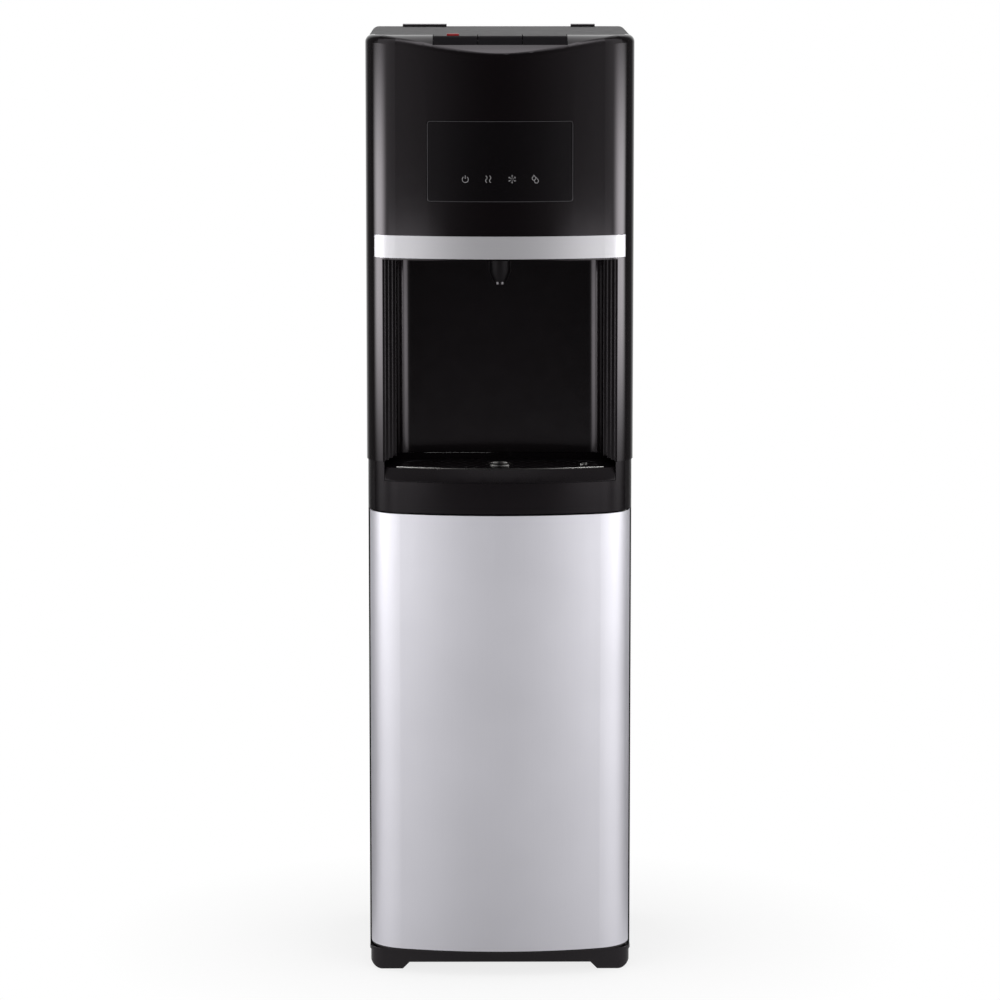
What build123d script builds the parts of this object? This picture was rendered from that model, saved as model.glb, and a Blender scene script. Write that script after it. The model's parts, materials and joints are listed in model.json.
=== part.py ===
from build123d import *
import os
from math import atan2, ceil, cos, pi, radians, sin, sqrt, tan

os.makedirs("parts", exist_ok=True)

# Bottom-loading water cooler. Millimetres, x to the viewer's right, y to the rear, z up,
# origin on the floor under the middle of the whole outline.

# Overall outline
TOP_Z = 1100.0
BODY_DEPTH = 320.0
CABINET_HALF = 154.0
HEAD_OVERHANG = 1.5
DOOR_STEP = 1.8
HEAD_HALF = CABINET_HALF + HEAD_OVERHANG
DOOR_HALF = CABINET_HALF - DOOR_STEP
FRONT_RADIUS = 400.0
CORNER_RADIUS = 50.0
HEAD_SETBACK = 1.0
SEAM = 0.3
FIT = 0.05
REACH = 500.0

# Condenser behind the rear panel
TUBE_RADIUS = 2.4
WIRE_FLATS = 1.6
WELD_GAP = 0.1
ROUND_SIDES = 24
SMALL_SIDES = 12
HEX_SIDES = 6
CONDENSER_STAND = 35.9
OVERALL_DEPTH = BODY_DEPTH + CONDENSER_STAND + TUBE_RADIUS + WELD_GAP + WIRE_FLATS
FRONT_Y = -OVERALL_DEPTH / 2

# Base and feet
FOOT_HEIGHT = 8.0
FOOT_INNER = CABINET_HALF - 47.0
FOOT_FLAT_END = CABINET_HALF - 15.0
FOOT_DEPTH = 44.0
FOOT_MARGIN = 2.0
BASE_FRONT = 36.8
BASE_CORNER = 17.0
BASE_WALL = 3.0
SKIRT_STEP = 1.2
SKIRT_TOP = 22.0
FLANGE_TOP = 26.0
DECK_HALF = CABINET_HALF - 18.0
DECK_HEIGHT = 6.0
DECK_FRONT_GAP = 4.0
DECK_REAR_GAP = 6.0

# Sheet steel cabinet
SHEET = 1.0
PANEL_FRONT = 66.0
HEM_WIDTH = 10.0
RETURN_WIDTH = 14.0
COVER_THICK = 3.0
SHELF_SHEET = 1.2
SHELF_FLANGE = 12.0
MID_SHELF_Z = 565.0
TANK_SHELF_Z = 775.0

# Door
DOOR_SKIN = 1.0
DOOR_SKIN_BOTTOM = 30.0
DOOR_FRAME_BOTTOM = 27.5
DOOR_TOP = 547.0
DOOR_REAR = 63.5
DOOR_THICK = 14.0
DOOR_WALL = 2.5
DOOR_RAIL = 16.0
DOOR_STILE = 18.0
HINGE_INSET = 7.0
HINGE_DEPTH = 57.5
PIN_RADIUS = 3.0
PIN_HEAD = 4.4
PIN_HEAD_THICK = 3.0
PIN_GRIP = 13.0
HINGE_BOSS = 6.0
HINGE_BOSS_RISE = DOOR_FRAME_BOTTOM - FLANGE_TOP - SEAM
CATCH_X = 37.2 - DOOR_HALF
CATCH_WIDTH = 30.0
CATCH_HEIGHT = 14.0
CATCH_DEPTH = 11.0
STRIKE_THICK = 1.2

# Tray frame and tray housing
MID_Z = 549.0
FRAME_PLATE = 3.0
HEAD_Z = 607.0
HEAD_REAR = 65.5
APRON_HALF = CABINET_HALF - 8.5
APRON_WALL = 3.0
TRAY_DECK_Z = 585.0
HOUSING_REAR = 112.0
LEG_X = CABINET_HALF - 36.0

# Drip tray, grille and float
TRAY_HALF = CABINET_HALF - 20.1
TRAY_SIDE_GAP = 0.6
TRAY_TOP = 600.0
TRAY_FLOOR = 2.0
TRAY_REAR_GAP = 2.0
TRAY_REAR_CORNER = 20.0
LIP_STRAIGHT = 1.5
LIP_LEAN = 8.0
GRILLE_HALF = CABINET_HALF - 33.5
GRILLE_FRONT = 14.5
GRILLE_REAR = 92.0
GRILLE_CORNER = 38.0
GRILLE_THICK = 2.0
GRILLE_SINK = 0.5
LEDGE = 4.0
TRIM_WIDTH = 1.2
TRIM_RISE = 0.8
HOLE_RADIUS = 3.3
HOLE_PITCH = 13.2
ROW_PITCH = 11.2
HOLE_LAND = 1.0
HOLE_EDGE = 3.0
SPOUT_DEPTH = 61.0
TARGET_RADIUS = 16.0
RING_WIDTH = 2.2
RING_RISE = 1.0
FLOAT_X = GRILLE_HALF - 21.8
FLOAT_RING_RADIUS = 6.9
FLOAT_STEM = 3.6
FLOAT_RADIUS = 8.0
FLOAT_THICK = 3.6
FLOAT_GAP = 0.3

# Head shell
HEAD_WALL = 3.0
HEAD_LEDGE = 2.2
SHOULDER_RUN = 37.0
SHOULDER_DROP = 22.0
SHOULDER_BULGE = 5.5
SHOULDER_ROUND = 9.0
COVER_HALF = HEAD_HALF - 11.5
COVER_FRONT = 40.0
COVER_CORNER = 16.0
ALCOVE_HALF = HEAD_HALF - 19.5
ALCOVE_TOP = 843.0
BAND_LOW = 845.0
BAND_HIGH = 871.0
BAND_HALF = HEAD_HALF - 10.5
BAND_PROUD = 0.8
BAND_SINK = 1.0
WINDOW_HALF = 84.5
WINDOW_LOW = 910.0
WINDOW_HIGH = 1004.0
WINDOW_THICK = 1.9
WINDOW_ROUND = 5.0
WINDOW_LEDGE = 6.0

# Indicator board behind the window
BOARD_Z = 937.0
BOARD_HALF = 92.0
BOARD_HEIGHT = 26.0
BOARD_THICK = 1.6
BOARD_DEPTH = 16.0
BOSS_X = 86.0
BOSS_RADIUS = 3.0
LIGHT_X = (-40.0, -13.7, 13.7, 40.0)
LIGHT_RADIUS = 2.5
LIGHT_LENGTH = 3.0

# Alcove liner and spout
LINER_WALL = 2.4
LINER_FRONT = 29.0
LINER_BACK = 109.0
LINER_STEP = 4.0
LINER_STEP_DEPTHS = (42.0, 58.0, 75.0)
LINER_CORNER = 17.5
LINER_CEILING = 846.0
SHROUD_RADIUS = 13.0
SHROUD_MOUTH = 8.0
SHROUD_BOTTOM = 814.0
SHROUD_TAPER_Z = 826.0
SPOUT_RADIUS = 5.5
SPOUT_BORE = 4.0
SPOUT_BOTTOM = 811.0
SHROUD_FLANGE = 16.0
SHROUD_FLANGE_THICK = 2.5
MANIFOLD_Z = 868.0
MANIFOLD_HEIGHT = 20.0
MANIFOLD_HALF = 26.0
MANIFOLD_DEPTH = 20.0
MANIFOLD_PORT = 16.0

# Keys, child lock and valves
KEY_PITCH = 51.2
KEY_GAP = 0.8
KEY_FRONT = 11.6
KEY_REAR = 50.5
KEY_BOTTOM = 1087.5
KEY_WALL = 2.2
KEY_ROUND = 2.5
KEY_SLOT_GAP = 0.6
ROD_RADIUS = 2.0
ROD_DEPTH = 46.0
ROD_Z = 1092.0
ROD_END = 4.0
KEY_FRAME_Z = 1066.0
KEY_FRAME_PLATE = 3.0
KEY_FRAME_REAR = 63.0
UPRIGHT_DEPTH = 10.0
VALVE_DEPTH = 27.0
VALVE_RADIUS = 12.0
VALVE_HEIGHT = 32.0
VALVE_NECK = 6.5
VALVE_NECK_RISE = 6.0
PLUNGER_RADIUS = 3.0
PLUNGER_TAIL = 10.0
PLUNGER_TRAVEL = 3.0
BARB_RADIUS = 4.0
BARB_LENGTH = 12.0
BARB_DROP = 14.0
LOCK_X = -KEY_PITCH - 2.8
LOCK_WIDTH = 14.0
LOCK_FRONT = KEY_FRONT + 2.0
LOCK_LENGTH = 8.0
LOCK_RISE = 2.4
LOCK_STEM = 8.0
LOCK_TRAVEL = 4.0
LOCK_FOOT = 2.6

# Top cover and rear tabs
COVER_RIM_DROP = 12.0
COVER_RIM_WALL = 2.4
COVER_SKIRT = 10.0
COVER_SKIRT_WALL = 12.0
TAB_SPANS = ((38.0 - CABINET_HALF, 91.0 - CABINET_HALF), (CABINET_HALF - 67.0, CABINET_HALF - 38.0))
TAB_RISE = 3.0
TAB_LENGTH = 20.0
TAB_LEG = 26.0
TAB_THICK = 2.0

# Tanks, on the tank shelf
TANK_SIDE_GAP = 18.0
TANK_REAR_GAP = 14.0
COLD_FRONT_GAP = 21.0
COLD_SIDE_GAP = 4.0
FOAM_WALL = 18.0
FOAM_FLOOR = 18.0
COLD_RADIUS = (BODY_DEPTH - LINER_BACK - COLD_FRONT_GAP - TANK_REAR_GAP) / 2 - FOAM_WALL
COLD_X = CABINET_HALF - COLD_SIDE_GAP - FOAM_WALL - COLD_RADIUS
COLD_DEPTH = BODY_DEPTH - TANK_REAR_GAP - FOAM_WALL - COLD_RADIUS
COLD_HEIGHT = 180.0
HOT_REAR_GAP = 47.0
HOT_RADIUS = CABINET_HALF - COLD_RADIUS - FOAM_WALL - TANK_SIDE_GAP
HOT_X = TANK_SIDE_GAP + HOT_RADIUS - CABINET_HALF
HOT_DEPTH = BODY_DEPTH - HOT_REAR_GAP - HOT_RADIUS
HOT_HEIGHT = 170.0
HOT_LEGS = 14.0
TANK_DOME = 18.0
HEATER_THICK = 3.5
HEATER_HEIGHT = 34.0
HEATER_RISE = 40.0
NIPPLE_RADIUS = 4.5
NIPPLE_RISE = 6.0

# Pump, compressor and boards, on the mid shelf
PUMP_X = 30.0 - CABINET_HALF
PUMP_DEPTH = BODY_DEPTH - 94.0
PUMP_RADIUS = 20.0
PUMP_MOTOR = 56.0
PUMP_HEAD = 26.0
PUMP_PORT = 12.0
PUMP_BASE = 4.0
COMPRESSOR_X = CABINET_HALF - 96.0
COMPRESSOR_DEPTH = BODY_DEPTH - 94.0
COMPRESSOR_RADIUS = 66.0
COMPRESSOR_HEIGHT = 118.0
COMPRESSOR_DOME = 34.0
COMPRESSOR_FOOT_HALF = 68.0
COMPRESSOR_PLATE = 3.0
MOUNT_RADIUS = 9.0
MOUNT_HEIGHT = 12.0
MOUNT_X = 58.0
MOUNT_Y = 50.0

# Hoses
HOSE_RADIUS = 4.5
HOSE_SIDES = HEX_SIDES
BEND_STEPS = 3
HOSE_BEND = 14.0
VALVE_LINE_Z = KEY_FRAME_Z - BARB_DROP
HOSE_STRAIGHT = 28.0
FEED_LEVEL = 735.0

# Suction probe in the bottle bay
PROBE_X = 18.0 - CABINET_HALF
PROBE_DEPTH = BODY_DEPTH - 16.0
PROBE_RADIUS = 5.0
PROBE_LOW = 140.0
PROBE_HEAD_RADIUS = 11.0
PROBE_HEAD_HEIGHT = 30.0

# Condenser serpentine
PASSES = 9
PASS_PITCH = 60.0
LOWEST_PASS = 350.0
RUN_HALF = CABINET_HALF - 72.0
WIRE_COUNT = 13
WIRE_PITCH = 12.0
WIRE_OVERHANG = 14.0
LEAD_BEND = 10.0
STAND_X = RUN_HALF - 8.0
STAND_SIZE = 12.0

# Rear fittings
SWITCH_X = 32.0 - CABINET_HALF
SWITCH_Z = 1010.0
SWITCH_SPACING = 34.0
SWITCH_WIDTH = 24.0
SWITCH_HEIGHT = 70.0
SWITCH_BEZEL = 3.0
SWITCH_BODY = 18.0
ROCKER_WIDTH = 15.0
ROCKER_HEIGHT = 22.0
ROCKER_GAP = 0.6
ROCKER_RISE = 2.4
ROCKER_DEPTH = 8.0
ROCKER_PIN = 1.5
DRAIN_X = CABINET_HALF - 30.0
DRAIN_Z = 600.0
DRAIN_RADIUS = 9.0
DRAIN_LENGTH = 18.0
DRAIN_FLANGE = 14.0
DRAIN_FLANGE_THICK = 3.0
DRAIN_TAIL = 12.0
CAP_RADIUS = 13.0
CAP_LENGTH = 16.0
CAP_END = 3.0
GLAND_X = 30.0 - CABINET_HALF
GLAND_Z = 600.0
GLAND_RADIUS = 9.0
GLAND_LENGTH = 10.0
GLAND_BORE = 4.0
SCREW_RADIUS = 1.6
SCREW_HEAD = 3.6
SCREW_HEAD_THICK = 2.0
SCREW_LENGTH = 8.0
SCREW_COUNT = 5
SCREW_MARGIN = 34.0
VENT_WIDTH = 80.0
VENT_HEIGHT = 4.0
VENT_PITCH_X = 100.0
VENT_PITCH_Z = 14.0
VENT_ROWS = 5
LOW_VENT_Z = 640.0
HIGH_VENT_Z = 980.0


def behind(depth):
    """The y of a point so far behind the foremost point of the front."""
    return FRONT_Y + depth


def front_plane(depth):
    """A plane across the body at a depth, x to the right and z up, facing the front."""
    return Plane(origin=(0, behind(depth), 0), x_dir=(1, 0, 0), z_dir=(0, -1, 0))


def plan_face(half, setback, depth, inset=0.0):
    """Plan outline: bowed front, rounded front corners, straight sides and a flat rear."""
    half_width = half - inset
    front = behind(setback + inset)
    radius = FRONT_RADIUS - inset
    corner = CORNER_RADIUS - inset
    corner_x = half_width - corner
    corner_y = front + radius - sqrt((radius - corner) ** 2 - corner_x**2)
    reach = radius / (radius - corner)
    touch_x = corner_x * reach
    touch_y = front + radius - (front + radius - corner_y) * reach
    middle = atan2(touch_y - corner_y, touch_x - corner_x) / 2
    bend_x = corner_x + corner * cos(middle)
    bend_y = corner_y + corner * sin(middle)
    rear = behind(depth)
    with BuildSketch() as face:
        with BuildLine():
            ThreePointArc((-touch_x, touch_y), (0, front), (touch_x, touch_y))
            ThreePointArc((touch_x, touch_y), (bend_x, bend_y), (half_width, corner_y))
            if rear > corner_y:
                Line((half_width, corner_y), (half_width, rear))
                Line((half_width, rear), (-half_width, rear))
                Line((-half_width, rear), (-half_width, corner_y))
            else:
                Line((half_width, corner_y), (-half_width, corner_y))
            ThreePointArc((-half_width, corner_y), (-bend_x, bend_y), (-touch_x, touch_y))
        make_face()
        if rear <= corner_y:
            with Locations((0, rear + REACH)):
                Rectangle(2 * REACH, 2 * REACH, mode=Mode.SUBTRACT)
    return face.sketch


def front_wall(half, setback, depth, outer, inner, low, high):
    """A bowed wall that follows the plan outline between two insets and two heights."""
    with BuildPart() as wall:
        with BuildSketch(Plane.XY.offset(low)):
            add(plan_face(half, setback, depth, outer))
            add(plan_face(half, setback, depth + HEAD_WALL, inner), mode=Mode.SUBTRACT)
        extrude(amount=high - low)
    return wall.part


def front_panel(half, setback, outer, inner, low, high, width, corner):
    """A bowed plate cut from a front wall, with rounded corners in the front view."""
    with BuildPart() as panel:
        add(front_wall(half, setback, HEAD_REAR, outer, inner, low, high))
        with BuildSketch(Plane.XZ):
            with Locations((0, (low + high) / 2)):
                outline = Rectangle(width, high - low)
            if corner > 0:
                fillet(outline.vertices(), corner)
        extrude(amount=REACH, both=True, mode=Mode.INTERSECT)
    return panel.part


def base_face(inset):
    """Plan outline of the base: flat front with rounded corners."""
    front = behind(BASE_FRONT) + inset
    rear = behind(BODY_DEPTH) - inset
    with BuildSketch() as face:
        with Locations((0, (front + rear) / 2)):
            Rectangle(2 * (CABINET_HALF - inset), rear - front)
        fillet(face.vertices().group_by(Axis.Y)[0], BASE_CORNER - inset)
    return face.sketch


def rounded_path(points, bends):
    """Points of a path whose corners are rounded by a few short straight runs."""
    spots = [Vector(*point) for point in points]
    path = [spots[0]]
    for index, bend in enumerate(bends, start=1):
        corner = spots[index]
        back = (spots[index - 1] - corner).normalized()
        ahead = (spots[index + 1] - corner).normalized()
        half = radians(back.get_angle(ahead)) / 2
        centre = corner + (back + ahead).normalized() * (bend / sin(half))
        first = corner + back * (bend / tan(half)) - centre
        last = corner + ahead * (bend / tan(half)) - centre
        turn = pi - 2 * half
        for step in range(BEND_STEPS + 1):
            share = turn * step / BEND_STEPS
            path.append(centre + first * (sin(turn - share) / sin(turn)) + last * (sin(share) / sin(turn)))
    path.append(spots[-1])
    return path


def tube_along(points, bends, radius):
    """A six-sided tube along straight runs with rounded corners."""
    with BuildPart() as tube:
        with BuildLine() as path:
            Polyline(*rounded_path(points, bends))
        with BuildSketch(Plane(origin=path.line @ 0, z_dir=path.line % 0)):
            RegularPolygon(radius, HOSE_SIDES)
        sweep(transition=Transition.RIGHT)
    return tube.part


def post(spots, low, high, radius, sides, bore=False):
    """Upright prisms, one at each spot. The corners of a post or the flats of a bore are at the radius."""
    with BuildPart() as prism:
        with BuildSketch(Plane.XY.offset(low)):
            with Locations(*spots):
                RegularPolygon(radius, sides, major_radius=not bore, rotation=180 / sides if bore else 0)
        extrude(amount=high - low)
    return prism.part


def bar(middle, length, radius, bore=False):
    """A prism along x about its middle. The corners of a bar or the flats of a bore are at the radius."""
    x, y, z = middle
    turn = 180 / SMALL_SIDES if bore else 0
    with BuildPart() as prism:
        with BuildSketch(Plane.YZ.offset(x)):
            with Locations((y, z)):
                RegularPolygon(radius, SMALL_SIDES, major_radius=not bore, rotation=turn)
        extrude(amount=length / 2, both=True)
    return prism.part


def write(piece, name):
    """Label a finished piece and write it to its own file."""
    piece.part.label = name
    export_step(piece.part, f"parts/{name}.step")


HINGE_X = DOOR_HALF - HINGE_INSET
HINGE_Y = behind(HINGE_DEPTH)
hinge_spot = [(HINGE_X, HINGE_Y)]

# Base pan: skirt, flange and raised deck for the bottle, hollow below
with BuildPart() as base_pan:
    with BuildSketch(Plane.XY.offset(FOOT_HEIGHT)):
        add(base_face(SKIRT_STEP))
    extrude(amount=SKIRT_TOP - FOOT_HEIGHT)
    with BuildSketch(Plane.XY.offset(SKIRT_TOP)):
        add(base_face(0))
    extrude(amount=FLANGE_TOP - SKIRT_TOP)
    deck_front = behind(BASE_FRONT + DECK_FRONT_GAP)
    deck_rear = behind(BODY_DEPTH - DECK_REAR_GAP)
    with BuildSketch(Plane.XY.offset(FLANGE_TOP)):
        with Locations((0, (deck_front + deck_rear) / 2)):
            RectangleRounded(2 * DECK_HALF, deck_rear - deck_front, BASE_CORNER)
    extrude(amount=DECK_HEIGHT)
    with BuildSketch(Plane.XY.offset(FOOT_HEIGHT)):
        add(base_face(SKIRT_STEP + BASE_WALL))
    extrude(amount=SKIRT_TOP - FOOT_HEIGHT, mode=Mode.SUBTRACT)
    with BuildSketch(Plane.XY.offset(SKIRT_TOP)):
        with Locations((0, (deck_front + deck_rear) / 2)):
            Rectangle(2 * (DECK_HALF - BASE_WALL), deck_rear - deck_front - 2 * BASE_WALL)
    extrude(amount=FLANGE_TOP + DECK_HEIGHT - BASE_WALL - SKIRT_TOP, mode=Mode.SUBTRACT)
    add(post(hinge_spot, FLANGE_TOP, FLANGE_TOP + HINGE_BOSS_RISE, HINGE_BOSS, SMALL_SIDES))
    add(post(hinge_spot, 0, 2 * FLANGE_TOP, PIN_RADIUS + FIT, SMALL_SIDES, True), mode=Mode.SUBTRACT)
write(base_pan, "base_pan")

# Four moulded feet, chamfered on the inner side and rounded on the outer
with BuildPart() as feet:
    foot_outer = CABINET_HALF - SKIRT_STEP - SEAM
    for start in (BASE_FRONT + FOOT_MARGIN, BODY_DEPTH - FOOT_MARGIN - FOOT_DEPTH):
        with BuildSketch(front_plane(start)):
            with BuildLine():
                Polyline(
                    (foot_outer, FOOT_HEIGHT),
                    (FOOT_INNER, FOOT_HEIGHT),
                    (FOOT_INNER + FOOT_HEIGHT, 0),
                    (FOOT_FLAT_END, 0),
                )
                TangentArc((FOOT_FLAT_END, 0), (foot_outer, FOOT_HEIGHT), tangent=(1, 0))
            make_face()
        extrude(amount=-FOOT_DEPTH)
    with BuildSketch():
        add(base_face(SKIRT_STEP + SEAM))
    extrude(amount=FOOT_HEIGHT, mode=Mode.INTERSECT)
    mirror(about=Plane.YZ)
write(feet, "feet")

# Side panels: folded sheet with a front hem and a rear return
panel_top = TOP_Z - COVER_SKIRT - SEAM
screw_x = CABINET_HALF - RETURN_WIDTH / 2
screw_low = FLANGE_TOP + SCREW_MARGIN
screw_pitch = (panel_top - SCREW_MARGIN - screw_low) / (SCREW_COUNT - 1)
screw_levels = [screw_low + index * screw_pitch for index in range(SCREW_COUNT)]
screw_spots = [(side * screw_x, level) for side in (-1, 1) for level in screw_levels]
with BuildPart() as right_side_panel:
    with BuildSketch(Plane.XY.offset(FLANGE_TOP)):
        with Locations((CABINET_HALF, behind(PANEL_FRONT))):
            Rectangle(SHEET, BODY_DEPTH - PANEL_FRONT, align=(Align.MAX, Align.MIN))
            Rectangle(2 * SHEET, HEM_WIDTH, align=(Align.MAX, Align.MIN))
        with Locations((CABINET_HALF, behind(BODY_DEPTH))):
            Rectangle(RETURN_WIDTH, SHEET, align=(Align.MAX, Align.MAX))
    extrude(amount=panel_top - FLANGE_TOP)
    with BuildSketch(front_plane(BODY_DEPTH)):
        with Locations(*[(screw_x, level) for level in screw_levels]):
            RegularPolygon(SCREW_RADIUS + SEAM, 6)
    extrude(amount=RETURN_WIDTH, mode=Mode.SUBTRACT)
write(right_side_panel, "right_side_panel")

with BuildPart() as left_side_panel:
    mirror(right_side_panel.part, about=Plane.YZ)
write(left_side_panel, "left_side_panel")

# Condenser levels are needed by the panel that its ends pass through
condenser_depth = BODY_DEPTH + CONDENSER_STAND
condenser_y = behind(condenser_depth)
top_pass = LOWEST_PASS + (PASSES - 1) * PASS_PITCH
lead_x = RUN_HALF + PASS_PITCH / 2

# Rear panel with vents and cut-outs
rear_half = CABINET_HALF - SHEET - SEAM
with BuildPart() as rear_panel:
    with BuildSketch(front_plane(BODY_DEPTH - SHEET)):
        with Locations((0, (FLANGE_TOP + panel_top) / 2)):
            Rectangle(2 * rear_half, panel_top - FLANGE_TOP)
        for vent_z in (LOW_VENT_Z, HIGH_VENT_Z):
            with Locations((0, vent_z)):
                with GridLocations(VENT_PITCH_X, VENT_PITCH_Z, 2, VENT_ROWS):
                    Rectangle(VENT_WIDTH, VENT_HEIGHT, mode=Mode.SUBTRACT)
        with Locations(*screw_spots):
            RegularPolygon(SCREW_RADIUS + SEAM, 6, mode=Mode.SUBTRACT)
        with Locations((-lead_x, LOWEST_PASS), (lead_x, top_pass)):
            RegularPolygon(TUBE_RADIUS + 2 * SEAM, SMALL_SIDES, mode=Mode.SUBTRACT)
        with Locations((SWITCH_X, SWITCH_Z)):
            slot_width = SWITCH_WIDTH - SWITCH_BEZEL + SEAM
            Rectangle(slot_width, SWITCH_HEIGHT - SWITCH_BEZEL + SEAM, mode=Mode.SUBTRACT)
        with Locations((DRAIN_X, DRAIN_Z)):
            RegularPolygon(DRAIN_RADIUS + SEAM, SMALL_SIDES, mode=Mode.SUBTRACT)
        with Locations((GLAND_X, GLAND_Z)):
            RegularPolygon(GLAND_RADIUS + SEAM, SMALL_SIDES, mode=Mode.SUBTRACT)
    extrude(amount=SHEET)
write(rear_panel, "rear_panel")

# Panel screws, one group
with BuildPart() as panel_screws:
    with BuildSketch(front_plane(BODY_DEPTH)):
        with Locations(*screw_spots):
            RegularPolygon(SCREW_HEAD, HEX_SIDES)
    extrude(amount=-SCREW_HEAD_THICK)
    with BuildSketch(front_plane(BODY_DEPTH)):
        with Locations(*screw_spots):
            RegularPolygon(SCREW_RADIUS, HEX_SIDES)
    extrude(amount=SCREW_LENGTH)
write(panel_screws, "panel_screws")

# Suction probe, pump and tank places that the shelves have holes for
probe_y = behind(PROBE_DEPTH)
pump_top = MID_SHELF_Z + SHELF_SHEET + PUMP_BASE + PUMP_MOTOR + PUMP_HEAD
pump_port_z = pump_top - PUMP_HEAD / 2
foam_z = TANK_SHELF_Z + SHELF_SHEET
cold_z = foam_z + FOAM_FLOOR
hot_z = foam_z + HOT_LEGS
near_x = COLD_X - COLD_RADIUS / 2
hose_hole = HOSE_RADIUS + 2 * SEAM


def shelf(level, holes):
    """A sheet shelf between the side panels with turned-down flanges and hose holes."""
    half = CABINET_HALF - SHEET - SEAM
    front = behind(HOUSING_REAR + SHEET)
    rear = behind(BODY_DEPTH - 2 * SHEET - SEAM)
    with BuildPart() as plate:
        with BuildSketch(Plane.XY.offset(level)):
            with Locations((0, (front + rear) / 2)):
                Rectangle(2 * half, rear - front)
        extrude(amount=SHELF_SHEET)
        with BuildSketch(Plane.XY.offset(level)):
            with Locations((half, (front + rear) / 2)):
                Rectangle(SHELF_SHEET, rear - front, align=(Align.MAX, Align.CENTER))
            with Locations((-half, (front + rear) / 2)):
                Rectangle(SHELF_SHEET, rear - front, align=(Align.MIN, Align.CENTER))
        extrude(amount=-SHELF_FLANGE)
        with BuildSketch(Plane.XY.offset(level)):
            with Locations(*holes):
                RegularPolygon(hose_hole, HOSE_SIDES, major_radius=False)
        extrude(amount=SHELF_SHEET, mode=Mode.SUBTRACT)
    return plate.part


with BuildPart() as mid_shelf:
    add(shelf(MID_SHELF_Z, [(PROBE_X, probe_y)]))
write(mid_shelf, "mid_shelf")

with BuildPart() as tank_shelf:
    tank_holes = [(near_x, behind(COLD_DEPTH)), (COLD_X, behind(COLD_DEPTH)), (HOT_X, behind(HOT_DEPTH))]
    add(shelf(TANK_SHELF_Z, tank_holes))
write(tank_shelf, "tank_shelf")

# Tray frame: cross plate with two corner posts that show beside the apron
with BuildPart() as tray_frame:
    with BuildSketch(Plane.XY.offset(MID_Z)):
        add(plan_face(CABINET_HALF, 0, HOUSING_REAR, APRON_WALL + SEAM))
    extrude(amount=FRAME_PLATE)
    with BuildSketch(Plane.XY.offset(MID_Z)):
        add(plan_face(CABINET_HALF, 0, HEAD_REAR))
        Rectangle(2 * (APRON_HALF + SEAM), 2 * REACH, mode=Mode.SUBTRACT)
    extrude(amount=HEAD_Z - SEAM - MID_Z)
    plate_top = MID_Z + FRAME_PLATE
    pin_bore = PIN_RADIUS + FIT
    add(post(hinge_spot, MID_Z - FRAME_PLATE, plate_top, pin_bore, SMALL_SIDES, True), mode=Mode.SUBTRACT)
    seat_top = MID_Z + PIN_HEAD_THICK + SEAM
    add(post(hinge_spot, MID_Z, seat_top, PIN_HEAD + SEAM, SMALL_SIDES, True), mode=Mode.SUBTRACT)
write(tray_frame, "tray_frame")

# Tray housing: bowed apron, deck, cheeks beside the tray, rear wall and two legs
guide_half = TRAY_HALF + TRAY_SIDE_GAP
housing_top = HEAD_Z - SEAM
with BuildPart() as tray_housing:
    with BuildSketch(Plane.XY.offset(MID_Z)):
        add(plan_face(CABINET_HALF, 0, HEAD_REAR))
        add(plan_face(CABINET_HALF, 0, HEAD_REAR + APRON_WALL, APRON_WALL), mode=Mode.SUBTRACT)
        Rectangle(2 * APRON_HALF, 2 * REACH, mode=Mode.INTERSECT)
    extrude(amount=housing_top - MID_Z)
    with BuildSketch(Plane.XY.offset(TRAY_DECK_Z)):
        add(plan_face(CABINET_HALF, 0, HOUSING_REAR))
        Rectangle(2 * guide_half, 2 * REACH, mode=Mode.INTERSECT)
    extrude(amount=housing_top - TRAY_DECK_Z, mode=Mode.SUBTRACT)
    with BuildSketch(Plane.XY.offset(TRAY_DECK_Z - APRON_WALL)):
        add(plan_face(CABINET_HALF, 0, HOUSING_REAR, APRON_WALL / 2))
        Rectangle(2 * APRON_HALF, 2 * REACH, mode=Mode.INTERSECT)
    extrude(amount=APRON_WALL)
    with BuildSketch(Plane.XY.offset(TRAY_DECK_Z)):
        add(plan_face(CABINET_HALF, 0, HOUSING_REAR, APRON_WALL / 2))
        Rectangle(2 * (guide_half + APRON_WALL), 2 * REACH, mode=Mode.INTERSECT)
        Rectangle(2 * guide_half, 2 * REACH, mode=Mode.SUBTRACT)
    extrude(amount=housing_top - TRAY_DECK_Z)
    with BuildSketch(Plane.XY.offset(TRAY_DECK_Z)):
        with Locations((0, behind(HOUSING_REAR))):
            Rectangle(2 * (guide_half + APRON_WALL), APRON_WALL, align=(Align.CENTER, Align.MAX))
    extrude(amount=housing_top - TRAY_DECK_Z)
    with BuildSketch(Plane.XY.offset(MID_Z + FRAME_PLATE)):
        add(plan_face(CABINET_HALF, 0, HOUSING_REAR, APRON_WALL / 2))
        Rectangle(2 * (LEG_X + APRON_WALL), 2 * REACH, mode=Mode.INTERSECT)
        Rectangle(2 * LEG_X, 2 * REACH, mode=Mode.SUBTRACT)
    extrude(amount=TRAY_DECK_Z - APRON_WALL - MID_Z - FRAME_PLATE)
write(tray_housing, "tray_housing")


def grille_face(grow):
    """Plan outline of the grille: bowed front edge and well rounded rear corners."""
    with BuildSketch() as face:
        add(plan_face(CABINET_HALF, 0, GRILLE_REAR + grow, GRILLE_FRONT - grow))
        with BuildSketch(mode=Mode.INTERSECT) as ends:
            with Locations((0, behind(GRILLE_REAR + grow))):
                Rectangle(2 * (GRILLE_HALF + grow), BODY_DEPTH, align=(Align.CENTER, Align.MAX))
            fillet(ends.vertices().group_by(Axis.Y)[-1], GRILLE_CORNER + grow)
    return face.sketch


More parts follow.
